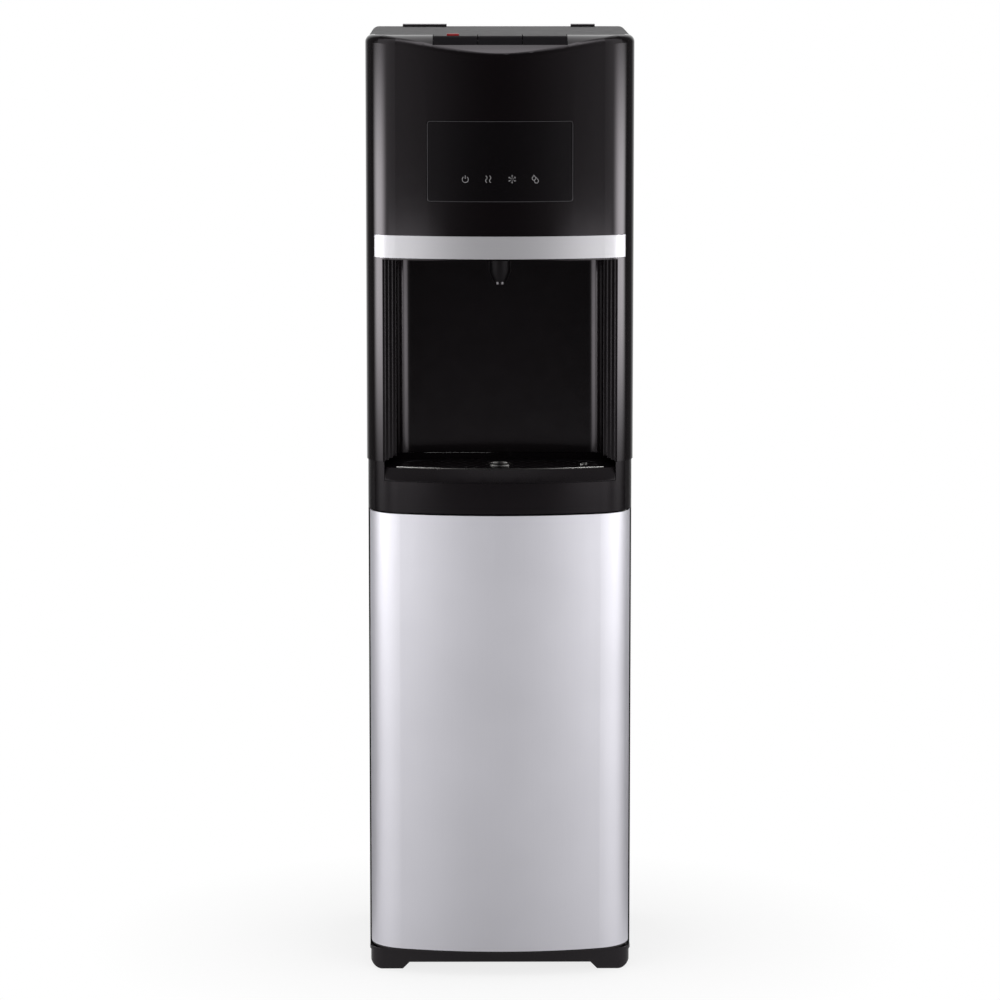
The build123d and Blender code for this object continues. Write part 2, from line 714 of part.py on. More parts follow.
# Drip tray: skirted tray with a bevelled lip and a stepped seat for the grille
tray_bottom = TRAY_DECK_Z + SEAM
tray_rear = HOUSING_REAR - APRON_WALL - TRAY_REAR_GAP
grille_z = TRAY_TOP - GRILLE_SINK - GRILLE_THICK
pocket_grow = TRIM_WIDTH + 2 * SEAM
with BuildPart() as drip_tray:
    with BuildSketch(Plane.XY.offset(tray_bottom)) as tray_plan:
        add(plan_face(CABINET_HALF, 0, tray_rear))
        Rectangle(2 * TRAY_HALF, 2 * REACH, mode=Mode.INTERSECT)
        fillet(tray_plan.vertices().group_by(Axis.Y)[-1], TRAY_REAR_CORNER)
    extrude(amount=TRAY_TOP - tray_bottom)
    bow = behind(FRONT_RADIUS)
    with BuildSketch(Plane.YZ):
        with BuildLine():
            Polyline(
                (FRONT_Y - LIP_LEAN, tray_bottom + LIP_STRAIGHT),
                (FRONT_Y, tray_bottom + LIP_STRAIGHT),
                (FRONT_Y + LIP_LEAN, TRAY_TOP),
                (FRONT_Y - LIP_LEAN, TRAY_TOP),
                close=True,
            )
        make_face()
    revolve(axis=Axis((0, bow, 0), (0, 0, 1)), revolution_arc=360, mode=Mode.SUBTRACT)
    with BuildSketch(Plane.XY.offset(grille_z)):
        add(grille_face(pocket_grow))
    extrude(amount=GRILLE_THICK + GRILLE_SINK, mode=Mode.SUBTRACT)
    with BuildSketch(Plane.XY.offset(tray_bottom + TRAY_FLOOR)):
        add(grille_face(-LEDGE))
    extrude(amount=grille_z - tray_bottom - TRAY_FLOOR, mode=Mode.SUBTRACT)
write(drip_tray, "drip_tray")

# Grille: hexagonal holes in staggered rows, with lands left round the two rings
spout_y = behind(SPOUT_DEPTH)


def on_land(x, y):
    """True where a hole would cut the seat of the target ring or the float ring."""
    to_target = sqrt(x**2 + (y - spout_y) ** 2)
    to_float = sqrt((x - FLOAT_X) ** 2 + (y - spout_y) ** 2)
    clear = HOLE_RADIUS + HOLE_LAND
    hits_target = TARGET_RADIUS - RING_WIDTH - clear < to_target < TARGET_RADIUS + clear
    return hits_target or to_float < FLOAT_RING_RADIUS + clear


def in_grille(x, y):
    """True where a hole leaves a full margin to the grille's edge."""
    margin = HOLE_RADIUS + HOLE_EDGE
    bow_y = behind(FRONT_RADIUS)
    inner = FRONT_RADIUS - GRILLE_FRONT - margin
    if abs(x) > GRILLE_HALF - margin or y > behind(GRILLE_REAR) - margin:
        return False
    if x**2 + (y - bow_y) ** 2 > inner**2:
        return False
    corner_x = GRILLE_HALF - GRILLE_CORNER
    corner_y = behind(GRILLE_REAR - GRILLE_CORNER)
    if abs(x) > corner_x and y > corner_y:
        return sqrt((abs(x) - corner_x) ** 2 + (y - corner_y) ** 2) < GRILLE_CORNER - margin
    return True


def grille_holes():
    """Centres of the staggered holes that fit the grille."""
    rows = ceil(GRILLE_REAR / ROW_PITCH)
    columns = ceil(GRILLE_HALF / HOLE_PITCH)
    spots = []
    for row in range(-rows, rows + 1):
        shift = HOLE_PITCH / 2 if row % 2 else 0.0
        for column in range(-columns - 1, columns + 1):
            spot = (column * HOLE_PITCH + shift, spout_y + row * ROW_PITCH)
            if in_grille(*spot) and not on_land(*spot):
                spots.append(spot)
    return spots


with BuildPart() as drip_grille:
    with BuildSketch(Plane.XY.offset(grille_z)):
        add(grille_face(0))
        with Locations(*grille_holes()):
            RegularPolygon(HOLE_RADIUS, HEX_SIDES, rotation=30, mode=Mode.SUBTRACT)
        with Locations((FLOAT_X, spout_y)):
            RegularPolygon(FLOAT_STEM + FLOAT_GAP, ROUND_SIDES, mode=Mode.SUBTRACT)
    extrude(amount=GRILLE_THICK)
write(drip_grille, "drip_grille")

# Bright strip along the front edge of the grille
with BuildPart() as grille_trim:
    with BuildSketch(Plane.XY.offset(grille_z + SEAM)):
        add(grille_face(SEAM + TRIM_WIDTH))
        add(grille_face(SEAM), mode=Mode.SUBTRACT)
        trim_end = behind(GRILLE_FRONT + GRILLE_HALF**2 / (2 * FRONT_RADIUS))
        with Locations((0, trim_end)):
            Rectangle(2 * REACH, REACH, align=(Align.CENTER, Align.MIN), mode=Mode.SUBTRACT)
    extrude(amount=GRILLE_THICK + GRILLE_SINK + TRIM_RISE - SEAM)
write(grille_trim, "grille_trim")


def ring(x, radius):
    """A flat raised ring on the grille."""
    with BuildPart() as hoop:
        with BuildSketch(Plane.XY.offset(grille_z + GRILLE_THICK)):
            with Locations((x, spout_y)):
                RegularPolygon(radius, ROUND_SIDES)
                RegularPolygon(radius - RING_WIDTH, ROUND_SIDES, mode=Mode.SUBTRACT)
        extrude(amount=RING_RISE)
    return hoop.part


with BuildPart() as grille_rings:
    add(ring(0, TARGET_RADIUS))
    add(ring(FLOAT_X, FLOAT_RING_RADIUS))
write(grille_rings, "grille_rings")

# Level float: a disc in the tray with a stem that rises through the grille
float_z = tray_bottom + TRAY_FLOOR + SEAM
with BuildPart() as level_float:
    float_spot = (FLOAT_X, spout_y)
    add(post([float_spot], float_z, float_z + FLOAT_THICK, FLOAT_RADIUS, ROUND_SIDES))
    add(post([float_spot], float_z, TRAY_TOP - SEAM, FLOAT_STEM, ROUND_SIDES))
write(level_float, "level_float")

# Head shell: bowed front with a rolled shoulder, alcove opening, window seat and band groove
key_half = 1.5 * KEY_PITCH
notch_half = key_half + KEY_GAP / 2


def shoulder(back, down):
    """What the rolled shoulder takes off the top front edge, moved back and down."""
    run = behind(HEAD_SETBACK + SHOULDER_RUN) + back
    nose = behind(HEAD_SETBACK) + back
    top = TOP_Z - down
    chord = (nose + run) / 2
    with BuildPart() as cut:
        with BuildSketch(Plane.YZ):
            with BuildLine():
                ThreePointArc(
                    (run, top),
                    (chord - SHOULDER_BULGE / 2, top - SHOULDER_DROP / 2 + SHOULDER_BULGE * 0.85),
                    (nose, top - SHOULDER_DROP),
                )
                Polyline(
                    (nose, top - SHOULDER_DROP),
                    (nose - SHOULDER_RUN, top - SHOULDER_DROP),
                    (nose - SHOULDER_RUN, TOP_Z + SHOULDER_DROP),
                    (run, TOP_Z + SHOULDER_DROP),
                    (run, top),
                )
            make_face()
        extrude(amount=REACH, both=True)
    return cut.part


def head_block(inset, low, high):
    """The head's form, or the hollow inside it: bowed plan with a rolled shoulder."""
    with BuildPart() as block:
        with BuildSketch(Plane.XY.offset(low)):
            add(plan_face(HEAD_HALF, HEAD_SETBACK, HEAD_REAR + inset, inset))
        extrude(amount=high - low)
        add(shoulder(inset / 2, TOP_Z - high), mode=Mode.SUBTRACT)
    return block.part


def tongue_face(inset):
    """Plan of the cover's front tongue, or of its seat in the head."""
    with BuildSketch() as face:
        with Locations((0, behind(COVER_FRONT + inset))):
            Rectangle(2 * (COVER_HALF - inset), HEAD_REAR, align=(Align.CENTER, Align.MIN))
        fillet(face.vertices().group_by(Axis.Y)[0], COVER_CORNER - inset)
    return face.sketch


head_hollow = TOP_Z - COVER_THICK - HEAD_LEDGE
with BuildPart() as head_shell:
    add(head_block(0, HEAD_Z, TOP_Z))
    upper = head_shell.edges().filter_by_position(Axis.Z, TOP_Z - 2 * SHOULDER_DROP, TOP_Z)
    fillet(upper.filter_by(GeomType.LINE, reverse=True), SHOULDER_ROUND)
    add(head_block(HEAD_WALL, HEAD_Z - HEAD_WALL, head_hollow), mode=Mode.SUBTRACT)
    with BuildSketch(Plane.XY.offset(TOP_Z - COVER_THICK)):
        add(tongue_face(0))
        with Locations((0, behind(KEY_FRONT - KEY_SLOT_GAP))):
            Rectangle(2 * notch_half, REACH, align=(Align.CENTER, Align.MIN))
    extrude(amount=COVER_THICK, mode=Mode.SUBTRACT)
    with BuildSketch(Plane.XY.offset(KEY_FRAME_Z + KEY_FRAME_PLATE)):
        with Locations((0, behind(KEY_FRONT - KEY_SLOT_GAP))):
            Rectangle(2 * notch_half, KEY_REAR, align=(Align.CENTER, Align.MIN))
    extrude(amount=TOP_Z - KEY_FRAME_Z, mode=Mode.SUBTRACT)
    with BuildSketch(front_plane(HEAD_REAR - SEAM)):
        with Locations((0, HEAD_Z)):
            Rectangle(2 * ALCOVE_HALF, 2 * (ALCOVE_TOP - HEAD_Z))
    extrude(amount=REACH, mode=Mode.SUBTRACT)
    add(
        front_panel(
            HEAD_HALF,
            HEAD_SETBACK,
            -HEAD_WALL,
            BAND_SINK + SEAM,
            BAND_LOW - SEAM,
            BAND_HIGH + SEAM,
            2 * (BAND_HALF + SEAM),
            0,
        ),
        mode=Mode.SUBTRACT,
    )
    add(
        front_panel(
            HEAD_HALF,
            HEAD_SETBACK,
            -HEAD_WALL,
            WINDOW_THICK + FIT,
            WINDOW_LOW - SEAM,
            WINDOW_HIGH + SEAM,
            2 * (WINDOW_HALF + SEAM),
            WINDOW_ROUND + SEAM,
        ),
        mode=Mode.SUBTRACT,
    )
    with BuildSketch(front_plane(HEAD_REAR)):
        with Locations((0, (WINDOW_LOW + WINDOW_HIGH) / 2)):
            RectangleRounded(
                2 * (WINDOW_HALF - WINDOW_LEDGE), WINDOW_HIGH - WINDOW_LOW - 2 * WINDOW_LEDGE, WINDOW_ROUND
            )
    extrude(amount=REACH, mode=Mode.SUBTRACT)
    boss_root = HEAD_SETBACK + HEAD_WALL + (BOSS_X - BOSS_RADIUS) ** 2 / (2 * FRONT_RADIUS) - FIT
    with BuildSketch(front_plane(BOARD_DEPTH)):
        with Locations((-BOSS_X, BOARD_Z), (BOSS_X, BOARD_Z)):
            RegularPolygon(BOSS_RADIUS, SMALL_SIDES)
    extrude(amount=BOARD_DEPTH - boss_root)
write(head_shell, "head_shell")

# Satin trim band let into the head above the alcove
with BuildPart() as trim_band:
    add(
        front_panel(
            HEAD_HALF, HEAD_SETBACK, -BAND_PROUD, BAND_SINK, BAND_LOW, BAND_HIGH, 2 * BAND_HALF, 0
        )
    )
write(trim_band, "trim_band")

# Smoked control window, flush in its seat
with BuildPart() as control_window:
    add(
        front_panel(
            HEAD_HALF, HEAD_SETBACK, 0, WINDOW_THICK, WINDOW_LOW, WINDOW_HIGH, 2 * WINDOW_HALF, WINDOW_ROUND
        )
    )
write(control_window, "control_window")

# Indicator board on two bosses, with its four lights
with BuildPart() as indicator_board:
    with BuildSketch(front_plane(BOARD_DEPTH)):
        with Locations((0, BOARD_Z)):
            Rectangle(2 * BOARD_HALF, BOARD_HEIGHT)
    extrude(amount=-BOARD_THICK)
    with BuildSketch(front_plane(BOARD_DEPTH)):
        with Locations(*[(x, BOARD_Z) for x in LIGHT_X]):
            RegularPolygon(LIGHT_RADIUS, SMALL_SIDES)
    extrude(amount=LIGHT_LENGTH)
write(indicator_board, "indicator_board")

# Alcove liner: stepped jambs, rounded rear corners, back wall and ceiling
liner_half = ALCOVE_HALF - SEAM - LINER_WALL


def liner_face(grow):
    """Plan of the alcove space, stepped in towards the rear, grown by a wall."""
    points = [(liner_half + grow, behind(0))]
    x = liner_half
    for depth in LINER_STEP_DEPTHS:
        points.append((x + grow, behind(depth + grow)))
        x -= LINER_STEP
        points.append((x + grow, behind(depth + grow)))
    points.append((x + grow, behind(LINER_BACK + grow)))
    mirrored = [(-px, py) for px, py in reversed(points)]
    with BuildSketch() as face:
        with BuildLine():
            Polyline(*points, *mirrored, close=True)
        make_face()
        fillet(face.vertices().group_by(Axis.Y)[-1], LINER_CORNER + grow)
    return face.sketch


with BuildPart() as alcove_liner:
    with BuildSketch(Plane.XY.offset(HEAD_Z)):
        add(liner_face(LINER_WALL))
        add(liner_face(0), mode=Mode.SUBTRACT)
        with Locations((0, behind(LINER_FRONT))):
            Rectangle(2 * REACH, REACH, align=(Align.CENTER, Align.MAX), mode=Mode.SUBTRACT)
    extrude(amount=LINER_CEILING - HEAD_Z)
    with BuildSketch(Plane.XY.offset(LINER_CEILING)):
        add(plan_face(HEAD_HALF, HEAD_SETBACK, LINER_BACK + LINER_WALL, HEAD_WALL + SEAM))
        Rectangle(2 * (liner_half + LINER_WALL), 2 * REACH, mode=Mode.INTERSECT)
        with Locations((0, spout_y)):
            RegularPolygon(SHROUD_RADIUS - LINER_WALL + SEAM, ROUND_SIDES, mode=Mode.SUBTRACT)
    extrude(amount=LINER_WALL)
    add(
        front_wall(
            HEAD_HALF, HEAD_SETBACK, HEAD_REAR, -SEAM, HEAD_WALL + SEAM, ALCOVE_TOP - SEAM, LINER_CEILING
        ),
        mode=Mode.SUBTRACT,
    )
write(alcove_liner, "alcove_liner")

# Spout shroud held in the ceiling, and the spout tube inside it
neck_radius = SHROUD_RADIUS - LINER_WALL
ceiling_top = LINER_CEILING + LINER_WALL
flange_top = ceiling_top + SHROUD_FLANGE_THICK
with BuildPart() as spout_shroud:
    spout_spot = [(0, spout_y)]
    add(post(spout_spot, SHROUD_BOTTOM, LINER_CEILING, SHROUD_RADIUS, ROUND_SIDES))
    mouth_edges = spout_shroud.faces().sort_by(Axis.Z)[0].edges()
    chamfer(mouth_edges, SHROUD_TAPER_Z - SHROUD_BOTTOM, SHROUD_RADIUS - SHROUD_MOUTH)
    add(post(spout_spot, LINER_CEILING, ceiling_top, neck_radius, ROUND_SIDES))
    add(post(spout_spot, ceiling_top, flange_top, SHROUD_FLANGE, ROUND_SIDES))
    add(post(spout_spot, SHROUD_BOTTOM, flange_top, SPOUT_RADIUS + FIT, ROUND_SIDES), mode=Mode.SUBTRACT)
write(spout_shroud, "spout_shroud")

with BuildPart() as spout:
    add(post(spout_spot, SPOUT_BOTTOM, MANIFOLD_Z, SPOUT_RADIUS, ROUND_SIDES))
    add(post(spout_spot, SPOUT_BOTTOM, MANIFOLD_Z, SPOUT_BORE, ROUND_SIDES), mode=Mode.SUBTRACT)
write(spout, "spout")

# Manifold that joins the three outlet hoses above the spout
manifold_top = MANIFOLD_Z + MANIFOLD_HEIGHT
with BuildPart() as spout_manifold:
    with BuildSketch(Plane.XY.offset(MANIFOLD_Z)):
        with Locations((0, spout_y)):
            Rectangle(2 * MANIFOLD_HALF, MANIFOLD_DEPTH)
    extrude(amount=MANIFOLD_HEIGHT)
    port_spots = [(side * MANIFOLD_PORT, spout_y) for side in (-1, 0, 1)]
    add(post(port_spots, manifold_top, manifold_top + NIPPLE_RISE, BARB_RADIUS, HOSE_SIDES))
write(spout_manifold, "spout_manifold")

# Key frame: a plate across the head with an upright at each end of the rod
valve_y = behind(VALVE_DEPTH)
rod_y = behind(ROD_DEPTH)
key_plate_top = KEY_FRAME_Z + KEY_FRAME_PLATE
upright_x = notch_half + SEAM
with BuildPart() as key_frame:
    with BuildSketch(Plane.XY.offset(KEY_FRAME_Z)):
        add(plan_face(HEAD_HALF, HEAD_SETBACK, KEY_FRAME_REAR, HEAD_WALL + SEAM))
        with Locations(*[(side * KEY_PITCH, valve_y) for side in (-1, 0, 1)]):
            RegularPolygon(VALVE_NECK + SEAM, SMALL_SIDES, mode=Mode.SUBTRACT)
    extrude(amount=KEY_FRAME_PLATE)
    with BuildSketch(Plane.XY.offset(key_plate_top)):
        with Locations((upright_x, rod_y)):
            Rectangle(ROD_END, UPRIGHT_DEPTH, align=(Align.MIN, Align.CENTER))
        with Locations((-upright_x, rod_y)):
            Rectangle(ROD_END, UPRIGHT_DEPTH, align=(Align.MAX, Align.CENTER))
    extrude(amount=ROD_Z + ROD_RADIUS + SEAM + 2 * FIT - key_plate_top)
    add(bar((0, rod_y, ROD_Z), REACH, ROD_RADIUS + FIT, True), mode=Mode.SUBTRACT)
write(key_frame, "key_frame")

with BuildPart() as key_rod:
    add(bar((0, rod_y, ROD_Z), 2 * (upright_x + ROD_END), ROD_RADIUS))
write(key_rod, "key_rod")


def key(x):
    """A hollow key with a rounded front edge, bored for the rod at its rear."""
    width = KEY_PITCH - KEY_GAP
    with BuildPart() as cap:
        with BuildSketch(Plane.YZ.offset(x)) as side:
            with Locations((behind(KEY_FRONT), KEY_BOTTOM)):
                Rectangle(KEY_REAR - KEY_FRONT, TOP_Z - KEY_BOTTOM, align=(Align.MIN, Align.MIN))
            fillet(side.vertices().group_by(Axis.Y)[-1].sort_by(Axis.X)[0], KEY_ROUND)
        extrude(amount=width / 2, both=True)
        with BuildSketch(Plane.XY.offset(KEY_BOTTOM)):
            with Locations((x, behind(KEY_FRONT + KEY_WALL))):
                Rectangle(width - 2 * KEY_WALL, BODY_DEPTH, align=(Align.CENTER, Align.MIN))
        extrude(amount=TOP_Z - KEY_WALL - KEY_BOTTOM, mode=Mode.SUBTRACT)
        add(bar((x, rod_y, ROD_Z), KEY_PITCH, ROD_RADIUS + FIT, True), mode=Mode.SUBTRACT)
    return cap.part


# Three keys; the left one has a slot for the child lock
lock_y = behind(LOCK_FRONT + LOCK_LENGTH / 2)
stem_length = LOCK_LENGTH / 2
with BuildPart() as hot_key:
    add(key(-KEY_PITCH))
    with BuildSketch(Plane.XY.offset(TOP_Z - KEY_WALL)):
        with Locations((LOCK_X, lock_y - stem_length / 2 - SEAM)):
            Rectangle(
                LOCK_STEM + 2 * SEAM, stem_length + LOCK_TRAVEL + 2 * SEAM, align=(Align.CENTER, Align.MIN)
            )
    extrude(amount=KEY_WALL, mode=Mode.SUBTRACT)
write(hot_key, "hot_key")

with BuildPart() as room_key:
    add(key(0))
write(room_key, "room_key")

with BuildPart() as cold_key:
    add(key(KEY_PITCH))
write(cold_key, "cold_key")

# Child lock: thumb pad on the key, stem through the slot and a foot below
with BuildPart() as child_lock:
    with BuildSketch(Plane.XY.offset(TOP_Z + FIT)):
        with Locations((LOCK_X, lock_y)):
            Rectangle(LOCK_WIDTH, LOCK_LENGTH)
    extrude(amount=LOCK_RISE - FIT)
    chamfer(child_lock.faces().sort_by(Axis.Z)[-1].edges(), LOCK_RISE / 4)
    with BuildSketch(Plane.XY.offset(TOP_Z + FIT)):
        with Locations((LOCK_X, lock_y)):
            Rectangle(LOCK_STEM, stem_length)
    extrude(amount=-(KEY_WALL + SEAM + LOCK_FOOT))
    with BuildSketch(Plane.XY.offset(TOP_Z - KEY_WALL - SEAM)):
        with Locations((LOCK_X, lock_y)):
            Rectangle(LOCK_WIDTH, stem_length)
    extrude(amount=-LOCK_FOOT)
write(child_lock, "child_lock")


# Valves under the key frame, their plungers and their hoses
valve_bottom = KEY_FRAME_Z - VALVE_HEIGHT
plunger_top = TOP_Z - KEY_WALL - SEAM
plunger_low = KEY_FRAME_Z - PLUNGER_TAIL


def valve(x):
    """A valve body hung from the key frame, with a rear inlet and a bottom outlet."""
    neck_top = KEY_FRAME_Z + KEY_FRAME_PLATE + VALVE_NECK_RISE
    with BuildPart() as body:
        add(post([(x, valve_y)], valve_bottom, KEY_FRAME_Z, VALVE_RADIUS, SMALL_SIDES))
        add(post([(x, valve_y)], KEY_FRAME_Z, neck_top, VALVE_NECK, SMALL_SIDES))
        add(post([(x, valve_y)], valve_bottom - BARB_LENGTH, valve_bottom, BARB_RADIUS, HOSE_SIDES))
        with BuildSketch(front_plane(VALVE_DEPTH)):
            with Locations((x, VALVE_LINE_Z)):
                RegularPolygon(BARB_RADIUS, HOSE_SIDES)
        extrude(amount=-(VALVE_RADIUS + BARB_LENGTH))
        plunger_bore = post(
            [(x, valve_y)], plunger_low - PLUNGER_TRAVEL, TOP_Z, PLUNGER_RADIUS + FIT, SMALL_SIDES, True
        )
        add(plunger_bore, mode=Mode.SUBTRACT)
    return body.part


def plunger(x):
    """A pin from inside the valve up to the underside of its key."""
    with BuildPart() as pin:
        add(post([(x, valve_y)], plunger_low, plunger_top, PLUNGER_RADIUS, SMALL_SIDES))
    return pin.part


with BuildPart() as valves:
    for side in (-1, 0, 1):
        add(valve(side * KEY_PITCH))
write(valves, "valves")

with BuildPart() as hot_plunger:
    add(plunger(-KEY_PITCH))
write(hot_plunger, "hot_plunger")

with BuildPart() as room_plunger:
    add(plunger(0))
write(room_plunger, "room_plunger")

with BuildPart() as cold_plunger:
    add(plunger(KEY_PITCH))
write(cold_plunger, "cold_plunger")

# Outlet hoses from the valves to the manifold, one group
with BuildPart() as outlet_hoses:
    hose_low = manifold_top + NIPPLE_RISE
    hose_high = valve_bottom - BARB_LENGTH
    for side in (-1, 0, 1):
        top = (side * KEY_PITCH, valve_y, hose_high)
        under = (side * KEY_PITCH, valve_y, hose_high - HOSE_STRAIGHT)
        over = (side * MANIFOLD_PORT, spout_y, hose_low + HOSE_STRAIGHT)
        bottom = (side * MANIFOLD_PORT, spout_y, hose_low)
        add(tube_along([top, under, over, bottom], [HOSE_BEND, HOSE_BEND], HOSE_RADIUS))
write(outlet_hoses, "outlet_hoses")

# Top cover: a cap with rounded sides, a front tongue round the keys and a rim inside the panels
with BuildPart() as top_cover:
    with BuildSketch(Plane.XY.offset(TOP_Z - COVER_SKIRT)):
        with Locations((0, behind(HEAD_REAR + SEAM))):
            Rectangle(
                2 * CABINET_HALF, BODY_DEPTH - HEAD_REAR - SEAM, align=(Align.CENTER, Align.MIN)
            )
    extrude(amount=COVER_SKIRT)
    side_edges = top_cover.edges().filter_by(Axis.Y).group_by(Axis.Z)[-1]
    fillet(side_edges, SHOULDER_ROUND)
    with BuildSketch(Plane.XY.offset(TOP_Z - COVER_SKIRT)):
        with Locations((0, behind(BODY_DEPTH - COVER_SKIRT_WALL))):
            Rectangle(2 * (CABINET_HALF - COVER_SKIRT_WALL), REACH, align=(Align.CENTER, Align.MAX))
    extrude(amount=COVER_SKIRT - COVER_THICK, mode=Mode.SUBTRACT)
    with BuildSketch(Plane.XY.offset(TOP_Z - COVER_THICK)):
        add(tongue_face(SEAM))
    extrude(amount=COVER_THICK)
    with BuildSketch(Plane.XY.offset(TOP_Z - COVER_SKIRT)):
        with Locations((0, behind(KEY_REAR + KEY_SLOT_GAP))):
            Rectangle(2 * (notch_half + SEAM), REACH, align=(Align.CENTER, Align.MAX))
    extrude(amount=COVER_SKIRT, mode=Mode.SUBTRACT)
    rim_half = CABINET_HALF - 2 * SHEET - SEAM
    rim_front = behind(PANEL_FRONT + HEM_WIDTH)
    rim_rear = behind(BODY_DEPTH - 2 * SHEET - SEAM)
    with BuildSketch(Plane.XY.offset(TOP_Z - COVER_SKIRT)):
        with Locations((0, (rim_front + rim_rear) / 2)):
            Rectangle(2 * rim_half, rim_rear - rim_front)
            rim_inner = rim_rear - rim_front - 2 * COVER_RIM_WALL
            Rectangle(2 * (rim_half - COVER_RIM_WALL), rim_inner, mode=Mode.SUBTRACT)
    extrude(amount=-COVER_RIM_DROP)
write(top_cover, "top_cover")

# Two tabs that hook the cover's rear edge to the rear panel
with BuildPart() as cover_tabs:
    for low, high in TAB_SPANS:
        with BuildSketch(Plane.XY.offset(TOP_Z)):
            with Locations(((low + high) / 2, behind(BODY_DEPTH + SEAM + TAB_THICK))):
                Rectangle(high - low, TAB_LENGTH, align=(Align.CENTER, Align.MAX))
        extrude(amount=TAB_RISE)
        with BuildSketch(Plane.XY.offset(TOP_Z)):
            with Locations(((low + high) / 2, behind(BODY_DEPTH + SEAM + TAB_THICK))):
                Rectangle(high - low, TAB_THICK, align=(Align.CENTER, Align.MAX))
        extrude(amount=-TAB_LEG)
    fillet(cover_tabs.edges().filter_by(Axis.X).group_by(Axis.Z)[-1], TAB_RISE / 2)
write(cover_tabs, "cover_tabs")

# Door: bowed steel skin over a hollow moulded frame that turns on two pins
with BuildPart() as door_skin:
    add(front_wall(DOOR_HALF, 0, DOOR_REAR, 0, DOOR_SKIN, DOOR_SKIN_BOTTOM, DOOR_TOP))
write(door_skin, "door_skin")

frame_outer = DOOR_SKIN + FIT
frame_top = DOOR_TOP - 2 * SEAM
with BuildPart() as door_frame:
    add(front_wall(DOOR_HALF, 0, DOOR_REAR, frame_outer, DOOR_THICK, DOOR_FRAME_BOTTOM, frame_top))
    pocket_low = DOOR_FRAME_BOTTOM + DOOR_RAIL
    pocket_high = frame_top - DOOR_RAIL
    add(
        front_panel(
            DOOR_HALF,
            0,
            frame_outer,
            DOOR_THICK - DOOR_WALL,
            pocket_low,
            pocket_high,
            2 * (DOOR_HALF - DOOR_STILE),
            0,
        ),
        mode=Mode.SUBTRACT,
    )
    for level in (DOOR_FRAME_BOTTOM, frame_top):
        low = level - PIN_GRIP - SEAM
        high = level + PIN_GRIP + SEAM
        add(post(hinge_spot, low, high, PIN_RADIUS + FIT, SMALL_SIDES, True), mode=Mode.SUBTRACT)
write(door_frame, "door_frame")

# Hinge pins, one down from the tray frame and one up from the base
with BuildPart() as hinge_pins:
    add(post(hinge_spot, frame_top - PIN_GRIP, MID_Z, PIN_RADIUS, SMALL_SIDES))
    add(post(hinge_spot, MID_Z, MID_Z + PIN_HEAD_THICK, PIN_HEAD, SMALL_SIDES))
    add(post(hinge_spot, SKIRT_TOP, DOOR_FRAME_BOTTOM + PIN_GRIP, PIN_RADIUS, SMALL_SIDES))
    add(post(hinge_spot, SKIRT_TOP - PIN_HEAD_THICK, SKIRT_TOP, PIN_HEAD, SMALL_SIDES))
write(hinge_pins, "hinge_pins")


def catch_part(outer, inner, low, high):
    """A bowed block of the magnet catch at the free side of the door."""
    with BuildPart() as block:
        add(front_wall(DOOR_HALF, 0, DOOR_REAR, outer, inner, low, high))
        with BuildSketch(Plane.XY.offset(low)):
            with Locations((CATCH_X, 0)):
                Rectangle(CATCH_WIDTH, 2 * REACH)
        extrude(amount=high - low, mode=Mode.INTERSECT)
    return block.part


strike_inner = DOOR_THICK + FIT + STRIKE_THICK
with BuildPart() as strike_plate:
    add(catch_part(DOOR_THICK + FIT, strike_inner, frame_top - CATCH_HEIGHT, frame_top))
write(strike_plate, "strike_plate")

with BuildPart() as catch_magnet:
    add(catch_part(strike_inner + SEAM, strike_inner + SEAM + CATCH_DEPTH, MID_Z - CATCH_HEIGHT, MID_Z))
write(catch_magnet, "catch_magnet")

# Hot tank on its legs, with the heater band round it
hot_y = behind(HOT_DEPTH)
hot_top = hot_z + HOT_HEIGHT
with BuildPart() as hot_tank:
    hot_spot = (HOT_X, hot_y)
    add(post([hot_spot], hot_z, hot_top, HOT_RADIUS, ROUND_SIDES))
    chamfer(hot_tank.faces().sort_by(Axis.Z)[-1].edges(), TANK_DOME)
    chamfer(hot_tank.faces().sort_by(Axis.Z)[0].edges(), TANK_DOME)
    heater_low = hot_z + HEATER_RISE
    add(post([hot_spot], heater_low, heater_low + HEATER_HEIGHT, HOT_RADIUS + HEATER_THICK, ROUND_SIDES))
    leg_reach = HOT_RADIUS - TANK_DOME
    leg_spots = [(HOT_X + side * leg_reach, hot_y) for side in (-1, 1)] + [(HOT_X, hot_y + leg_reach)]
    add(post(leg_spots, foam_z, hot_z + TANK_DOME, BARB_RADIUS, SMALL_SIDES))
    add(post([hot_spot], hot_z - NIPPLE_RISE, hot_top + NIPPLE_RISE, NIPPLE_RADIUS, SMALL_SIDES))
write(hot_tank, "hot_tank")

# Cold tank in its foam jacket
cold_y = behind(COLD_DEPTH)
foam_bore = COLD_RADIUS + SEAM
foam_radius = foam_bore + FOAM_WALL
cold_top = cold_z + COLD_HEIGHT
with BuildPart() as cold_tank:
    add(post([(COLD_X, cold_y)], cold_z, cold_top, COLD_RADIUS, ROUND_SIDES))
    chamfer(cold_tank.faces().sort_by(Axis.Z)[-1].edges(), TANK_DOME)
    nipple_spots = [(near_x, cold_y), (COLD_X, cold_y)]
    add(post(nipple_spots, foam_z - NIPPLE_RISE, cold_top + NIPPLE_RISE, NIPPLE_RADIUS, SMALL_SIDES))
write(cold_tank, "cold_tank")

